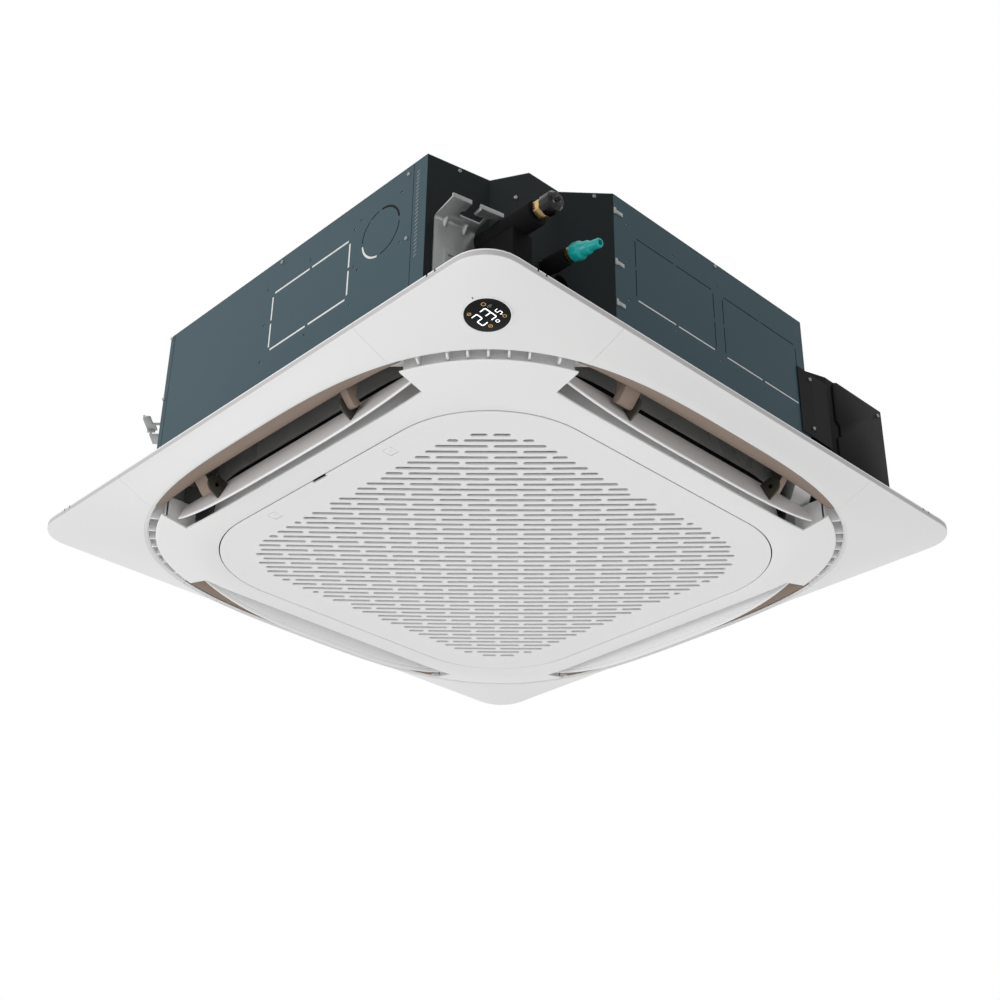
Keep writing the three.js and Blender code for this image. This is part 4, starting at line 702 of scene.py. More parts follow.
broad, slim = nose(26), nose(12)
gears = gear_face()
gears = joined([copied(gears, MIRROR_X), gears])
lining = joined([lining, copied(broad, MIRROR_X), slim])
bpy.data.objects.remove(broad)
for turns, name in enumerate(SIDES):
    dress(copied(lining, quarter(turns)), f"lining_{name}", tan_flock,
          replaces=[f"outlet_lining_{name}"])
    dress(copied(gears, quarter(turns)), f"gears_{name}", olive)
bpy.data.objects.remove(gears)
bpy.data.objects.remove(lining)

# %% [markdown]
# ## Louvres
# A louvre is a long blade whose outer edge follows the opening. Cheeks on its back carry the pins.
# It is made lying flat under its pivot, in the way it closes, and then turned to the open angle, so
# the pivot line stays where the joint is.

# %% Loft the blade and its cheeks
OPEN = Matrix.Translation((0, -PIVOT_OUT, PIVOT_Z)) @ Matrix.Rotation(math.radians(65.4), 4, "X")


def blade_ring(x):
    inner_edge = 24.8
    outer_edge = PIVOT_OUT - squircle_side(416, x)
    top, foot = -12.2, -15.7
    flat = [(inner_edge - 1, foot), (inner_edge, foot + 1.2), (inner_edge, top - 1), (inner_edge - 1, top),
            (outer_edge + 1.5, top), (outer_edge + 0.3, top - 0.8), (outer_edge, foot + 1.2),
            (outer_edge + 1.4, foot), (outer_edge + 5.5, foot), (outer_edge + 6, foot + 0.5),
            (outer_edge + 7, foot + 0.5), (outer_edge + 7.5, foot)]
    return [OPEN @ Vector((x, y, z)) for y, z in flat]


BLADE_HALF = 246.2
blade = loft([blade_ring(BLADE_HALF * (i / 16 - 1)) for i in range(33)])


def cheek():
    outline = [*arc(0, 0, 14, range(0, 181, 12)), (-15, -14), (15, -14)]
    solid = rounded(across(outline, EAR_X, EAR_X + 3), 0.5, 2)
    pin = turned([(3, EAR_X), (3, NOSE_START + 6.4)], 20, ALONG_X)
    ear = joined([solid, pin])
    ear.data.transform(Matrix.Scale(MM, 4) @ OPEN @ Matrix.Scale(1 / MM, 4))
    return ear


ear = cheek()
ears = joined([copied(ear, MIRROR_X), ear])
for turns, name in enumerate(SIDES):
    dress(copied(blade, quarter(turns)), f"blade_{name}", blade_lit_white, f"louvre_{name}_body",
          [f"louvre_{name}"])
    dress(copied(ears, quarter(turns)), f"cheeks_{name}", olive, f"louvre_{name}_body")
for spare in (blade, ears):
    bpy.data.objects.remove(spare)

# %% [markdown]
# ## The intake grille
# Short slots run along one diagonal, and every other row is shifted by half a slot. The slots are
# cut through a flat plate all at once, because a cut through a curved plate would splay them. Then
# the plate is bulged by 4 mm: bisecting it every 20 mm first gives it points enough to bend.

# %% Work out the slots
PITCH, SLOT, BRIDGE, SLOT_HALF_WIDTH = 13.6, 68.7, 6.2, 3.2
PATTERN, PATTERN_CORNER, ROWS = 271.6, 98, 51


def inside_pattern(along, offset):
    x, y = abs(along + offset) / math.sqrt(2), abs(along - offset) / math.sqrt(2)
    middle = PATTERN - PATTERN_CORNER
    rounding = x <= middle or y <= middle or math.hypot(x - middle, y - middle) <= PATTERN_CORNER
    return x <= PATTERN and y <= PATTERN and rounding


def row_reach(offset):
    reach = 0.0
    while inside_pattern(reach + 0.25, offset):
        reach += 0.25
    return reach


def slot_outline(start, end, offset):
    r = SLOT_HALF_WIDTH
    ends = arc(end - r, 0, r, range(-90, 91, 45)) + arc(start + r, 0, r, range(90, 271, 45))
    return [((u + offset + v) / math.sqrt(2), (u - offset - v) / math.sqrt(2)) for u, v in ends]


slots = []
for row in range(ROWS):
    offset = (row - (ROWS - 1) / 2) * PITCH
    reach, shift = row_reach(offset), (SLOT + BRIDGE) / 2 if row % 2 == 0 else 0
    for number in range(-6, 7):
        middle = number * (SLOT + BRIDGE) + shift
        start, end = max(middle - SLOT / 2, -reach), min(middle + SLOT / 2, reach)
        if end - start >= 9:
            slots.append(slot_outline(start, end, offset))
print("grille slots:", len(slots))


# %% Punch the plate
GRILLE_HALF, GRILLE_CORNER, BULGE = 323.8, 153.2, 4.0


def grille_plan(inset=0.0):
    return plan(GRILLE_HALF - inset, GRILLE_CORNER - inset)


tray = prism(grille_plan(), -48, -45.5)
carve(tray, *[prism(outline, -52, -42) for outline in slots])
for x in (-121, 121):
    carve(tray, box(x - 8, x + 8, -310, -294, -52, -42))
carve(tray, box(-13, 15, -326, -319.8, -52, -42))
print("plate points:", len(tray.data.vertices))


# %% Bulge it
def sag(x, y):
    """How far the plate hangs below its flat edge at a place."""
    return max(0.0, BULGE * (1 - (x / GRILLE_HALF) ** 2) * (1 - (y / GRILLE_HALF) ** 2))


take_up(tray)
bpy.ops.object.mode_set(mode="EDIT")
for direction in ((1, 0, 0), (0, 1, 0)):
    for place in range(-300, 301, 20):
        bpy.ops.mesh.select_all(action="SELECT")
        bpy.ops.mesh.bisect(plane_co=Vector(direction) * place * MM, plane_no=direction)
bpy.ops.object.mode_set(mode="OBJECT")
for vertex in tray.data.vertices:
    vertex.co.z -= sag(vertex.co.x / MM, vertex.co.y / MM) * MM
skirt = carve(prism(grille_plan(2.5), -47, -39), prism(grille_plan(4.5), -52, -30))
carve(skirt, box(-14, 16, -326, -316, -52, -30))


# %% Hang it on its lugs and dress it
def gooseneck(start):
    """A hook that rises behind the grille's skirt, crosses the seam and comes down on the pin."""
    y, z = HINGE_Y, HINGE_Z
    neck = across([(y - BARREL, z), (y + BARREL, z), (y + BARREL, z + 11), (y + BARREL - 1.5, z + 12.5),
                   (y - 12.5, z + 12.5), (y - 14, z + 11), (y - 14, -46.7), (y - 11.3, -46.7),
                   (y - 11.3, z + 9), (y - BARREL, z + 9)], start, start + 3)
    return [neck, barrel(start, start + 3)]


def lugs(x):
    return [*gooseneck(x - 7), *gooseneck(x + 4), barrel(x - 7, x + 7, 1.7)]


dress(joined([tray, skirt, *lugs(-140), *lugs(140)]), "grille_plate", grille_white, "grille",
      ["intake_grille"], smooth=20)

# %% [markdown]
# ## Latches
# A square push button sits flush in the grille at each side of the finger gap. A small raised cross
# on its face shows where the finger pushes.

# %% Make the latches
for name, x in (("left", -121), ("right", 121)):
    face = -48 - sag(x, 302)
    button = rounded(box(x - 7.5, x + 7.5, -309.5, -294.5, face, face + 5), 0.5, 2)
    flange = box(x - 10, x + 10, -312, -292, face + 3.1, face + 5.1)
    mark = [box(x - 4, x + 4, -303, -302, face - 0.15, face + 0.5),
            box(x - 0.5, x + 0.5, -306, -298, face - 0.15, face + 0.5)]
    dress(joined([button, flange, *mark]), f"button_{name}", panel_white, f"{name}_latch",
          [f"latch_{name}"])

# %% [markdown]
# ## The display
# A round black window lies in the corner cover's slope, with a thin white ring. Its lit digits and
# icons face down and read along +X. Digits are seven straight segments, as in any such display.

# %% Find the display's plane
DISPLAY, DISPLAY_REACH = math.radians(-45), 558.6
rim_point, mouth_point = square(475, 50, -9)(DISPLAY), squircle(442, -31)(DISPLAY)
slope = (rim_point.z - mouth_point.z) / (rim_point.xy.length - mouth_point.xy.length)
outward = Vector((math.cos(DISPLAY), math.sin(DISPLAY), slope)).normalized()
up_slope = outward.cross(Vector((-math.sin(DISPLAY), math.cos(DISPLAY), 0)))
centre = Vector((DISPLAY_REACH * math.cos(DISPLAY), DISPLAY_REACH * math.sin(DISPLAY),
                 rim_point.z - slope * (rim_point.xy.length - DISPLAY_REACH)))
tilt = Vector((0, 0, 1)).rotation_difference(up_slope).to_matrix().to_4x4()
WINDOW = Matrix.Translation(centre) @ tilt
print("display at", tuple(round(v, 1) for v in centre))

# %% Make the window and its ring
window = turned([(27.2, 0.5), (27.2, -0.35), (26.6, -0.6), (0.5, -0.6)], 64, WINDOW)
dress(window, "display_window", lens_black, replaces=["display_lens"])
collar = turned([(27.4, 0.5), (27.4, -0.5), (27.7, -0.8), (28.7, -0.8), (29.1, -0.3), (29.1, 0.5)], 64,
                WINDOW)
dress(collar, "display_ring", panel_white)


# %% Light its segments
def stroke(x0, y0, x1, y1, width):
    """A flat bar with pointed ends between two places on the window."""
    run = Vector((x1 - x0, y1 - y0, 0))
    side_step = Vector((-run.y, run.x, 0)).normalized() * width / 2
    tip_step = run.normalized() * width / 2
    a, b = Vector((x0, y0, 0)), Vector((x1, y1, 0))
    outline = [a, a + tip_step + side_step, b - tip_step + side_step, b, b - tip_step - side_step,
               a + tip_step - side_step]
    return loft([[WINDOW @ (point + Vector((0, 0, z))) for point in outline] for z in (-0.55, -0.72)])


SEGMENTS = {"2": "abged", "3": "abgcd", "5": "afgcd"}


def digit(character, x, y, wide, high, width):
    ends = {"a": (0, 0, 1, 0), "b": (1, 0, 1, 1), "c": (1, 1, 1, 2), "d": (0, 2, 1, 2), "e": (0, 1, 0, 2),
            "f": (0, 0, 0, 1), "g": (0, 1, 1, 1)}
    return [stroke(x + wide * p, y + high * q / 2, x + wide * r, y + high * s / 2, width)
            for p, q, r, s in (ends[letter] for letter in SEGMENTS[character])]


def loop(x, y, radius, sides=10):
    corners = arc(x, y, radius, [360 * i / sides for i in range(sides + 1)])
    return [stroke(*a, *b, 0.8) for a, b in zip(corners, corners[1:])]


lit = digit("2", -15.8, -9.7, 8.4, 17.8, 1.3) + digit("3", -2.1, -9.8, 8.6, 18.2, 1.3)
lit += digit("5", 11.6, 0.6, 4.4, 8.4, 0.8)
lit += loop(2.0, 14.6, 2.4, 6) + [stroke(12.6, 10.6, 13.6, 10.6, 1.0)]
dress(joined(lit), "display_digits", lit_white)
amber = loop(9.8, -15.6, 2.6) + loop(13.6, 14.6, 2.2) + loop(-9.6, 14.6, 2.4) + loop(-13.4, -16.0, 2.2)
amber += [stroke(-13.4 - 3.2, -16, -13.4 + 3.2, -16, 0.6), stroke(-11, 14.6, -8.2, 14.6, 0.7)]
dress(joined(amber), "display_icons", lit_amber)
waves = []
for radius in (1.6, 3.2, 4.8):
    places = arc(12.7, -5.2, radius, range(-135, -44, 18))
    waves += [stroke(*a, *b, 0.6) for a, b in zip(places, places[1:])]
dress(joined(waves), "display_waves", lit_faint)
sensor = turned([(0.9, 0.3), (0.9, -0.25), (0.4, -0.35)], 12, WINDOW @ Matrix.Translation((7.7, -30.6, 0)))
dress(sensor, "display_sensor", gloss_black)

# %% [markdown]
# ## The sheet body
# The body is a folded wrapper of 1.2 mm sheet with four cut corners and a recess for the pipes. Its
# outline is walked once as a list of corners. Holes and the slits of the knock-outs go right through
# it. The pale foam behind shows in the holes and the lit slits, as on the real one, and black blocks in
# the slits in shade are painted shade. The recess is then taken off as a piece of its own, because its
# walls hang in shadow: its darker finish is painted shade.

# %% Fold the wrapper
RECESS = [(308, -420), (326, -330), (372, -305), (373, -252), (420, -200)]
BODY = [(-256, -420), *RECESS, (420, 200), (228, 420), (-256, 420), (-420, 256), (-420, -256)]
TOP = 257


def inset(outline, distance):
    lines = []
    for (x, y), (u, v) in zip(outline, outline[1:] + outline[:1]):
        length = math.hypot(u - x, v - y)
        normal = (-(v - y) / length, (u - x) / length)
        lines.append((*normal, normal[0] * x + normal[1] * y + distance))
    corners = []
    for (a, b, p), (c, d, q) in zip(lines[-1:] + lines[:-1], lines):
        turn = a * d - b * c
        corners.append(((p * d - b * q) / turn, (a * q - p * c) / turn))
    return corners


wrapper = carve(prism(BODY, 0.3, TOP - 1.5), prism(inset(BODY, 1.2), -5, TOP + 5))
FRONT = Matrix(((1, 0, 0, 0), (0, 0, 1, -420), (0, 1, 0, 0), (0, 0, 0, 1)))
RIGHT = Matrix(((0, 0, -1, 420), (1, 0, 0, 0), (0, 1, 0, 0), (0, 0, 0, 1)))


# %% Pierce it with slits and holes
def slit(wall, x0, x1, z0, z1, low, high):
    """A small block through a wall: place along the wall, place up it, and its depth inwards."""
    corners = ((x0, z0), (x1, z0), (x1, z1), (x0, z1))
    return loft([[wall @ Vector((x, z, depth)) for x, z in corners] for depth in (low, high)])


def knock_out(wall, rectangle, wide, near, far, edges=("bottom", "top", "sides")):
    """Slits round a rectangle, with bridges at its corners and at the middle of each side."""
    x0, x1, z0, z1 = rectangle
    xm, zm, gap = (x0 + x1) / 2, (z0 + z1) / 2, 2.5
    runs = []
    for edge, z in (("bottom", z0), ("top", z1)):
        if edge in edges:
            halves = (x0 + 3, xm - gap), (xm + gap, x1 - 3)
            runs += [(*half, z - wide / 2, z + wide / 2) for half in halves]
    if "sides" in edges:
        for x in (x0, x1):
            halves = (z0 + 5, zm - gap), (zm + gap, z1 - 5)
            runs += [(x - wide / 2, x + wide / 2, *half) for half in halves]
    return [slit(wall, *run, near, far) for run in runs]


def round_slits(wall, x, z, radius, arcs, low, high):
    made = []
    for first, last, wide in arcs:
        angles = [first + (last - first) * i / 10 for i in range(11)]
        outline = arc(x, z, radius + wide / 2, angles) + arc(x, z, radius - wide / 2, angles[::-1])
        made.append(loft([[wall @ Vector((u, v, depth)) for u, v in outline] for depth in (low, high)]))
    return made


FRONT_KNOCK, FRONT_ROUND = (-3, 160, 110, 203), (222, 182, 36)
RIGHT_KNOCKS = [(-160, -2, 109, 207), (18, 181, 109, 207)]
DARK_ARCS = [(8, 89, 3.2), (99, 124, 1.8), (128, 179, 1.8), (272, 357, 1.8)]
LIGHT_ARCS = [(187, 262, 3.2)]


def light_slits(low, high):
    made = knock_out(FRONT, FRONT_KNOCK, 3.6, low, high)
    made += round_slits(FRONT, *FRONT_ROUND, LIGHT_ARCS, low, high)
    for rectangle in RIGHT_KNOCKS:
        made += knock_out(RIGHT, rectangle, 2.6, low, high, ("bottom",))
    return made


# the slits that lie in shade: black blocks set in them are painted shade
def dark_slits(low, high):
    made = round_slits(FRONT, *FRONT_ROUND, DARK_ARCS, low, high)
    for rectangle in RIGHT_KNOCKS:
        made += knock_out(RIGHT, rectangle, 1.6, low, high, ("top", "sides"))
    return made


FRONT_HOLES = [(-16.3, 216.3), (76.8, 216.5), (169, 215.6), (181.3, 223.3), (259.8, 223.3), (171.4, 154.5),
               (179.1, 144.9), (167.8, 95.9), (-17.3, 158), (75.8, 96.3), (-19.1, 98.6), (260.7, 143)]
RIGHT_HOLES = [(-174.6, 221.7), (-174.2, 162.3), (-174.7, 100.7), (-83.7, 219.6), (7.6, 219.1), (-82.8, 99.9),
               (7.5, 97.5), (97.8, 217.8), (190.3, 217.9), (191.5, 158), (97.8, 96), (190.7, 97.3)]


def hole(wall, x, z):
    return turned([(1.9, -2), (1.9, 2)], 12, wall @ Matrix.Translation((x, z, 0)))


carve(wrapper, *light_slits(-2, 2), *dark_slits(-2, 2), *[hole(FRONT, *spot) for spot in FRONT_HOLES],
      *[hole(RIGHT, *spot) for spot in RIGHT_HOLES])
carve(wrapper, slit(FRONT, 282, 283, 0, 260, -1, 0.8), slit(FRONT, -246.6, -245.6, 0, 260, -1, 0.9))
GAS, LIQUID, DRAIN = (-337, 147), (-275, 121), (-279, 80)
for place, radius in ((GAS, 17.6), (LIQUID, 12.6), (DRAIN, 14.6)):
    carve(wrapper, turned([(radius, 240), (radius, 418)], 32, Matrix.Translation((0, *place)) @ ALONG_X))
recess = copied(wrapper, quarter(0))
carve(recess, box(308, 430, -430, -200, -10, 270), operation="INTERSECT")
carve(wrapper, box(308, 430, -430, -200, -10, 270))
dress(wrapper, "casing_wrapper", casing_steel, replaces=["casing_wall"])
# the recess walls' darker finish is painted shade
dress(recess, "casing_recess", recess_shaded_steel)
dress(joined(light_slits(0.45, 1.15)), "slit_foam", foam_white)
# black blocks in the shaded slits are painted shade
dress(joined(dark_slits(0.45, 1.15)), "slit_shadow", black_plastic)
print("wrapper points:", len(wrapper.data.vertices))

# %% [markdown]
# ## Screws, ticks and clips on the sheet
# Pan-head screws hold the folds. One is turned and gets its cross cut, and every other is a copy set
# on its wall by a matrix. A row of slanting ticks is pressed beside the seam.

# %% Turn one screw and set the copies
def screw(radius=2.7, height=1.9):
    head = turned([(radius, 0), (radius, height * 0.45), (radius * 0.82, height * 0.85),
                   (radius * 0.4, height)], 20)
    bar = radius * 1.1
    cross = [box(-bar / 2, bar / 2, -0.4, 0.4, height * 0.45, height * 2),
             box(-0.4, 0.4, -bar / 2, bar / 2, height * 0.45, height * 2)]
    return carve(head, *cross, crossing=True)


OUTWARD = Matrix.Scale(-1, 4, (0, 0, 1))
pattern = screw()


def set_screw(wall, x, z, turn=0.6):
    return placed(pattern, wall @ Matrix.Translation((x, z, 0)) @ OUTWARD @ Matrix.Rotation(turn, 4, "Z"))


def wall_between(start, end):
    """The frame of an upright wall: along it, up it and inwards."""
    along = (Vector(end) - Vector(start)).normalized()
    inwards = Vector((-along.y, along.x))
    return Matrix(((along.x, 0, inwards.x, start[0]), (along.y, 0, inwards.y, start[1]),
                   (0, 1, 0, 0), (0, 0, 0, 1)))


near_wall, middle_wall, far_wall = (wall_between(RECESS[i], RECESS[i + 1]) for i in (0, 1, 3))
FRONT_SCREWS = [(-253.9, 253), (11.2, 249.1), (272.5, 245), (273.7, 142.2), (-254.7, 147.8)]
screws = [set_screw(FRONT, x, z, x) for x, z in FRONT_SCREWS] + [set_screw(RIGHT, 6.6, 252.5)]
screws += [set_screw(near_wall, 46.7, 250.9, 0.2), set_screw(middle_wall, 35, 220.4, 0.9)]
screws.append(set_screw(far_wall, 45.7, 251, 0.5))
LEFT, BACK = wall_between((-420, 256), (-420, -256)), wall_between((228, 420), (-256, 420))
screws += [set_screw(wall, x, z, x) for wall, width in ((LEFT, 512), (BACK, 484))
           for x in (12, width / 2, width - 12) for z in (250, 40)]
dress(joined(screws), "casing_screws", zinc, smooth=40)

# %% Tick marks beside the seam and clips at the right edge
ticks = []
for number in range(23):
    z = 105 + number * 6
    outline = [(288.5, z), (293.5, z + 2.4), (293.5, z + 3.2), (288.5, z + 0.8)]
    ticks.append(loft([[FRONT @ Vector((x, up, depth)) for x, up in outline] for depth in (-0.12, 0.3)]))
dress(joined(ticks), "casing_ticks", zinc)
clips = []
for z in (230, 148, 85):
    clips.append(rounded(slit(RIGHT, -196, -183, z - 3, z + 3, -1.0, 0.2), 0.4, 2))
    clips.append(rounded(slit(RIGHT, -199.6, -196, z - 5, z + 5, -1.6, 0.2), 0.4, 2))
dress(joined(clips), "casing_clips", zinc)

# %% [markdown]
# ## Drain pan
# The pan's rounded lower edge is the inner wall of every outlet, and it is what catches the light
# there. A bevel with several segments rounds it before the trough and the fan's hole are cut. Four
# lugs fill the gap between the pan's round corners and the cut corners of the body.

# %% Shape the drain pan
pan = rounded(prism(well_plan(), 16, 64), 6, 5, 60)
trough = carve(prism(plan(331, 166), 51.7, 70), prism(plan(281, 116), 40, 80))
carve(pan, turned([(240, 10), (240, 70)], 96), trough)
corner_reach = square(WELL_HALF, WELL_CORNER, 0)(math.radians(45)).length
lugs_of_pan = []
for turns, chamfer in enumerate((592, 587, 640, 640)):
    lug = rounded(box(corner_reach - 6, chamfer / math.sqrt(2) - 0.3, -30, 30, 29.3, 51.7), 2, 2)
    lug.data.transform(Matrix.Rotation(turns * math.pi / 2 - math.pi / 4, 4, "Z"))
    lugs_of_pan.append(lug)
dress(joined([pan, *lugs_of_pan]), "drain_pan_shell", pan_grey, replaces=["drain_pan"])

# %% [markdown]
# ## Bellmouth
# Behind the filter the air enters the fan through a flared ring. It is one turned profile: a curve
# from the plate into the throat, with a rolled end, on a flat plate that fills the well.

# %% Turn the bellmouth
BELL = [(236, 11.0), (233.5, 14.5), (228, 19), (221, 23), (213, 28.5), (206.5, 36), (202, 46), (199, 60),
        (197, 74), (197, 84), (199.5, 84), (199.5, 74), (201.6, 60), (204.6, 46.8), (209, 37), (215, 30),
        (223, 24.5), (231, 20), (238, 15.7)]
bell = revolved(BELL, 96)
bell_plate = carve(prism(well_plan(3.3), 11, 15.7), turned([(237, 0), (237, 20)], 96))
dress(joined([bell, bell_plate]), "bellmouth_ring", fan_grey, replaces=["bellmouth"])

# %% [markdown]
# ## Pipe ends
# Two insulated pipes leave the recess: the thick gas pipe with a brass nut and a black cap, and the
# thinner liquid pipe, whose teal cap droops a little. All of them are turned along X.

# %% Sleeves, nuts and caps
def along_pipe(pipe, start=0.0, droop=0.0):
    return Matrix.Translation((start, *pipe)) @ Matrix.Rotation(math.radians(droop), 4, "Y") @ ALONG_X


def sleeve(outer, bore, start, end, pipe):
    profile = [(bore, start), (outer - 1, start), (outer, start + 1), (outer, end - 2),
               (outer - 0.6, end - 0.6), (outer - 2, end), (bore, end)]
    return revolved(profile, 48, along_pipe(pipe))


def nut(radius, length, place):
    cone = turned([(radius * 0.86, 0), (radius * 1.02, radius * 0.12),
                   (radius * 1.02, length - radius * 0.12), (radius * 0.86, length)], 48, place)
    hexagon = turned([(radius, 0), (radius, length)], 6, place)
    return rounded(carve(hexagon, cone, operation="INTERSECT"), 0.3, 1, 25)


dress(sleeve(17, 8.6, 270, 419, GAS), "gas_sleeve", rubber_foam,
      replaces=["gas_insulation"])
dress(sleeve(12, 5.4, 346, 409, LIQUID), "liquid_sleeve", rubber_foam,
      replaces=["liquid_insulation"])
dress(nut(13, 11, along_pipe(GAS, 420.6)), "gas_nut", brass, replaces=["gas_flare_nut"])
LIQUID_END, DROOP = 411.6, 11
dress(nut(9.5, 8.4, along_pipe(LIQUID, LIQUID_END, DROOP)), "liquid_nut", brass,
      replaces=["liquid_flare_nut"])
GAS_CAP = [(10, 0), (13.2, 0.6), (14, 1.6), (14, 16.5), (10, 21), (4.4, 21), (3.2, 22), (3, 25)]
gas_cap = rounded(turned(GAS_CAP, 12, along_pipe(GAS, 431.9)), 0.5, 2, 20)
dress(gas_cap, "gas_cap_shell", gloss_black, replaces=["gas_cap"], smooth=12)
TEAL_CAP = [(10.2, 0), (11.3, 0.4), (11.5, 1.2), (11.5, 12.2), (11, 13.2), (9.2, 16), (8.5, 24.6),
            (8.2, 25.4), (7, 27.4), (6.4, 28.2), (6.2, 29), (6.2, 42), (5.4, 43.6), (4, 44.2)]
cap_place = along_pipe(LIQUID, LIQUID_END, DROOP) @ Matrix.Translation((0, 0, 8.6))
teal_cap = carve(turned(TEAL_CAP, 48, cap_place), turned([(3.4, 34), (3.4, 50)], 24, cap_place))
teal_grip = rounded(turned([(11.2, 0.8), (12.1, 1.6), (12.1, 12), (11.2, 13)], 8, cap_place), 0.4, 2, 20)
dress(joined([teal_cap, teal_grip]), "liquid_cap_shell", teal, replaces=["liquid_cap"], smooth=25)


# %% The drain spout and the block below the gas pipe
def spout(radius, wall, start, end, pipe):
    profile = [(radius, start), (radius, end - 9), (radius + 0.9, end - 7.5), (radius + 0.9, end - 5.5),
               (radius, end - 4), (radius, end - 0.8), (radius - 0.8, end), (radius - wall + 0.6, end),
               (radius - wall, end - 0.6), (radius - wall, start)]
    return revolved(profile, 48, along_pipe(pipe))


dress(spout(14, 2.5, 295.3, 402, DRAIN), "drain_spout", black_plastic,
      replaces=["drain_outlet"])
collar_block = rounded(box(330, 392, -352, -318, 60, 135), 3, 3)
dress(collar_block, "pipe_block", rubber_foam)

# %% [markdown]
# ## Hanging brackets
# Each bracket is a bent strip of zinc-plated steel. A rod hangs in its open slot, and the finger
# beside it stops the nut from sliding out. The bend's radius, a pressed panel and two dimples make
# it read as pressed sheet.

# %% Bend and punch one bracket
SHEET, HANGER_HALF, HANGER_TOP, LEDGE = 2.5, 29, 163.5, 46
BEND = (180, 157, 135, 112, 90)
inner_bend = arc(SHEET + 4, HANGER_TOP - SHEET - 4, 4, BEND)
outer_bend = arc(SHEET + 4, HANGER_TOP - SHEET - 4, 6.5, BEND)
fold = [(0, 62), *outer_bend, (LEDGE, HANGER_TOP), (LEDGE, HANGER_TOP - SHEET), *reversed(inner_bend),
        (SHEET, 62)]
strip = loft([[Vector((x, y, z)) for x, z in fold] for y in (-HANGER_HALF, HANGER_HALF)])
finger_plan = [(34, 20), (LEDGE, 20), (LEDGE, 43), (44, 47), (41, 48), (36, 48), (34, 46)]
finger = prism(finger_plan, HANGER_TOP - SHEET, HANGER_TOP)
carve(strip, finger, operation="UNION")
carve(strip, prism([*arc(25, 0, 6, range(180, 361, 15)), (31, 25), (19, 25)], 150, 180))
carve(strip, box(29, 50, -2, 10, 150, 180))
for outline in ((-HANGER_HALF, -2), (10, 44)):
    carve(strip, box(LEDGE - SHEET, LEDGE, *outline, HANGER_TOP - 1, HANGER_TOP + 4), operation="UNION")
carve(strip, box(34, LEDGE, 10, 12, HANGER_TOP - 6, HANGER_TOP - 1), operation="UNION")
PRESSED = ((-15, 84), (-11, 80), (11, 80), (15, 84), (15, 118), (11, 122), (-11, 122), (-15, 118))
pressed = loft([[Vector((x, y * share, 101 + (z - 101) * share)) for y, z in PRESSED]
                for x, share in ((1.5, 1), (2.4, 1), (3.3, 0.93))])
carve(strip, pressed, operation="UNION")
for z in (93, 109):
    carve(strip, box(1.5, 6, -9, 9, z - 1.2, z + 1.2))
rounded(strip, 0.35, 2, 40)
dimple = [Vector((SHEET, 0, 150)), Vector((SHEET + 9.5, 0, 163.6)), Vector((SHEET - 1, 0, 164.2))]
dimples = []
for y in (-14, 14):
    rings = [[p + Vector((-sink, y + w, sink)) for p in dimple]
             for w, sink in ((-3.4, 2.2), (-1.4, 0), (0, 0), (1.4, 0), (3.4, 2.2))]
    dimples.append(rounded(loft(rings), 0.5, 2))
bracket = joined([strip, *dimples])

# %% Hang the four copies on the cut corners
hangers = [((308 + 18 * 0.44, -420 + 90 * 0.44), math.atan2(-(326 - 308), -330 + 420)),
           ((420 - 192 * 0.68, 200 + 220 * 0.68), math.atan2(420 - 228, 420 - 200)),
           ((-338, 338), math.radians(135)), ((-338, -338), math.radians(225))]
for name, ((x, y), angle) in zip(CORNERS, hangers):
    place = Matrix.Translation((x, y, 0)) @ Matrix.Rotation(angle, 4, "Z") @ Matrix.Translation((0.3, 0, 0))
    dress(placed(bracket, place), f"bracket_{name}", zinc, replaces=[f"hanger_{name}"])
bpy.data.objects.remove(bracket)

# %% [markdown]
# ## Control box
# A matt black box hangs on the back right corner, and its flange laps over the body. The lid has
# rounded corners and a notch for the cables, and two screws hold the flange.

# %% Make the box and its lid
BOX = [(409.3, 214.3), (420.3, 250.3), (420.3, 385.3), (325.3, 309.3)]
shell = rounded(prism(BOX, 6, 187), 2.5, 3)
flange = rounded(box(420.3, 421.5, 180, 214, 64, 172), 0.3, 1)
corner = prism([(420.3, 212.8), (421.5, 212.8), (420.3, 250.3), (412, 242)], 64, 172)
dress(joined([shell, flange, corner]), "control_case", black_plastic,
      replaces=["control_box"])
lid_shape = [(263.5, 6), (385.8, 6), (385.8, 187), (275, 187), (268, 184), (264.5, 178), (263.5, 170),
             (263.5, 118), (272, 112), (272, 94), (263.5, 88)]
lid = loft([[Vector((x, y, z)) for y, z in lid_shape] for x in (420.6, 422.6)])
dress(rounded(lid, 0.6, 2), "control_lid", black_plastic, replaces=["control_box_lid"])
box_screws = []
for lift, spots in ((1.5, ((208.2, 161.5), (207, 79.3))), (2.6, ((376, 176), (376, 18), (272, 18)))):
    box_screws += [set_screw(RIGHT @ Matrix.Translation((0, 0, -lift)), y, z, y) for y, z in spots]
dress(joined(box_screws), "control_screws", zinc, smooth=40)
bpy.data.objects.remove(pattern)

# %% [markdown]
# ## The pieces that keep their CAD shape
# Everything inside is right as it is and only needs its finish. A list of finishes and names is
# enough, and each node is shaded smooth where its facets meet at a small angle.

# %% Finish the inner pieces
def keep(finish, *names, smooth=40):
    for name in names:
        node = take_up(nodes[name])
        bpy.ops.object.shade_smooth_by_angle(angle=math.radians(smooth))
        node.data.materials.clear()
        node.data.materials.append(finish.material)


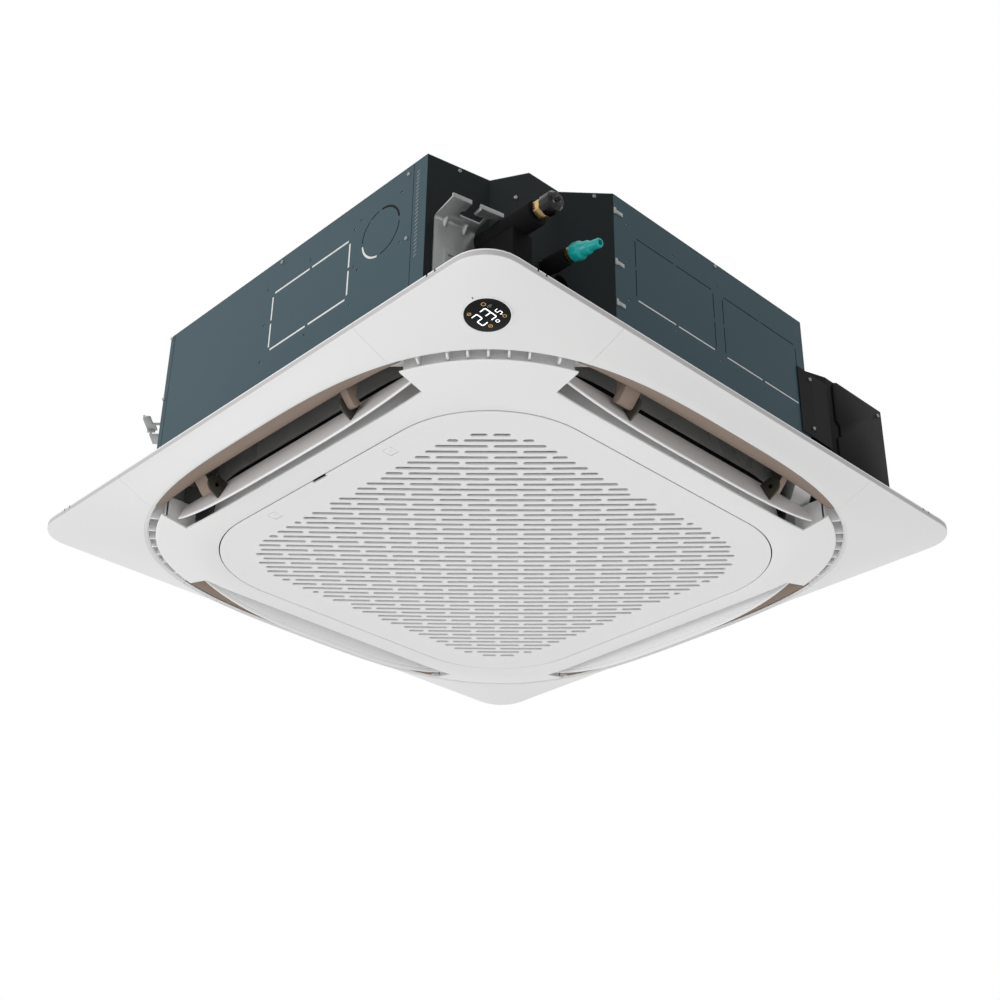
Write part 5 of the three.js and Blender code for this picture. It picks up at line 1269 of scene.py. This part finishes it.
keep(casing_steel, "casing_top", "motor_bracket")
keep(foam_white, "foam_liner", "float")
keep(bare_fins, "heat_exchanger", smooth=20)
keep(zinc, "coil_corner_plate", "motor_shaft", "fan_motor")
keep(fan_grey, "turbofan")
keep(brass, "fan_nut")
keep(copper, "gas_pipe", "liquid_pipe")
keep(inner_white, "drain_pump", "float_switch")
keep(net, "air_filter")
keep(olive, *[f"louvre_motor_{name}" for name in SIDES])
print("dressed pieces:", len(dressed))

# %% [markdown]
# ## Light and floor
# The unit hangs, so the floor is far below it, as in a studio with a high rig. A white surround
# gives most of the light. It is dimmer on the right, so that the body's two walls differ, and three
# lamps add the highlights. The plain Standard view keeps the white pure, as on a catalogue page.

# %% Set the studio
deselect()
bpy.ops.mesh.primitive_plane_add(size=14, location=(0, 0, -2.7))
floor = bpy.context.object
floor.name = "floor"
floor_finish = Finish("floor")
floor_tint = floor_finish.blend(floor_finish.noise(1.5), (0.78, 0.78, 0.78), (0.82, 0.82, 0.82))
floor_finish.set(Base_Color=floor_tint, Roughness=0.8)
floor.data.materials.append(floor_finish.material)
world = bpy.data.worlds.new("studio")
bpy.context.scene.world = world
world.use_nodes = True
sky = world.node_tree
way = sky.nodes.new("ShaderNodeTexCoord")
parts = sky.nodes.new("ShaderNodeSeparateXYZ")
fade = sky.nodes.new("ShaderNodeMapRange")
for name, value in (("From Min", 0.0), ("From Max", 0.7), ("To Min", 1.0), ("To Max", 0.42)):
    fade.inputs[name].default_value = value
sky.links.new(way.outputs["Generated"], parts.inputs["Vector"])
sky.links.new(parts.outputs["X"], fade.inputs["Value"])
sky.nodes["Background"].inputs["Color"].default_value = (1, 1, 1, 1)
sky.links.new(fade.outputs["Result"], sky.nodes["Background"].inputs["Strength"])
bpy.context.scene.view_settings.view_transform = "Standard"


def lamp(name, place, target, size, power):
    light = bpy.data.lights.new(name, "AREA")
    light.shape, light.size, light.energy = "SQUARE", size, power
    stand = bpy.data.objects.new(name, light)
    bpy.context.scene.collection.objects.link(stand)
    stand.location = place
    stand.rotation_euler = (Vector(target) - Vector(place)).to_track_quat("-Z", "Y").to_euler()
    return stand


lamp("front_lamp", (-0.6, -2.6, -0.4), (0, -0.3, 0.1), 0.8, 8)
lamp("right_lamp", (2.6, -1.2, -0.5), (0.4, -0.3, 0.1), 0.3, 3)
lamp("low_lamp", (0.5, -0.5, -2.4), (0, 0, 0), 1.6, 10)
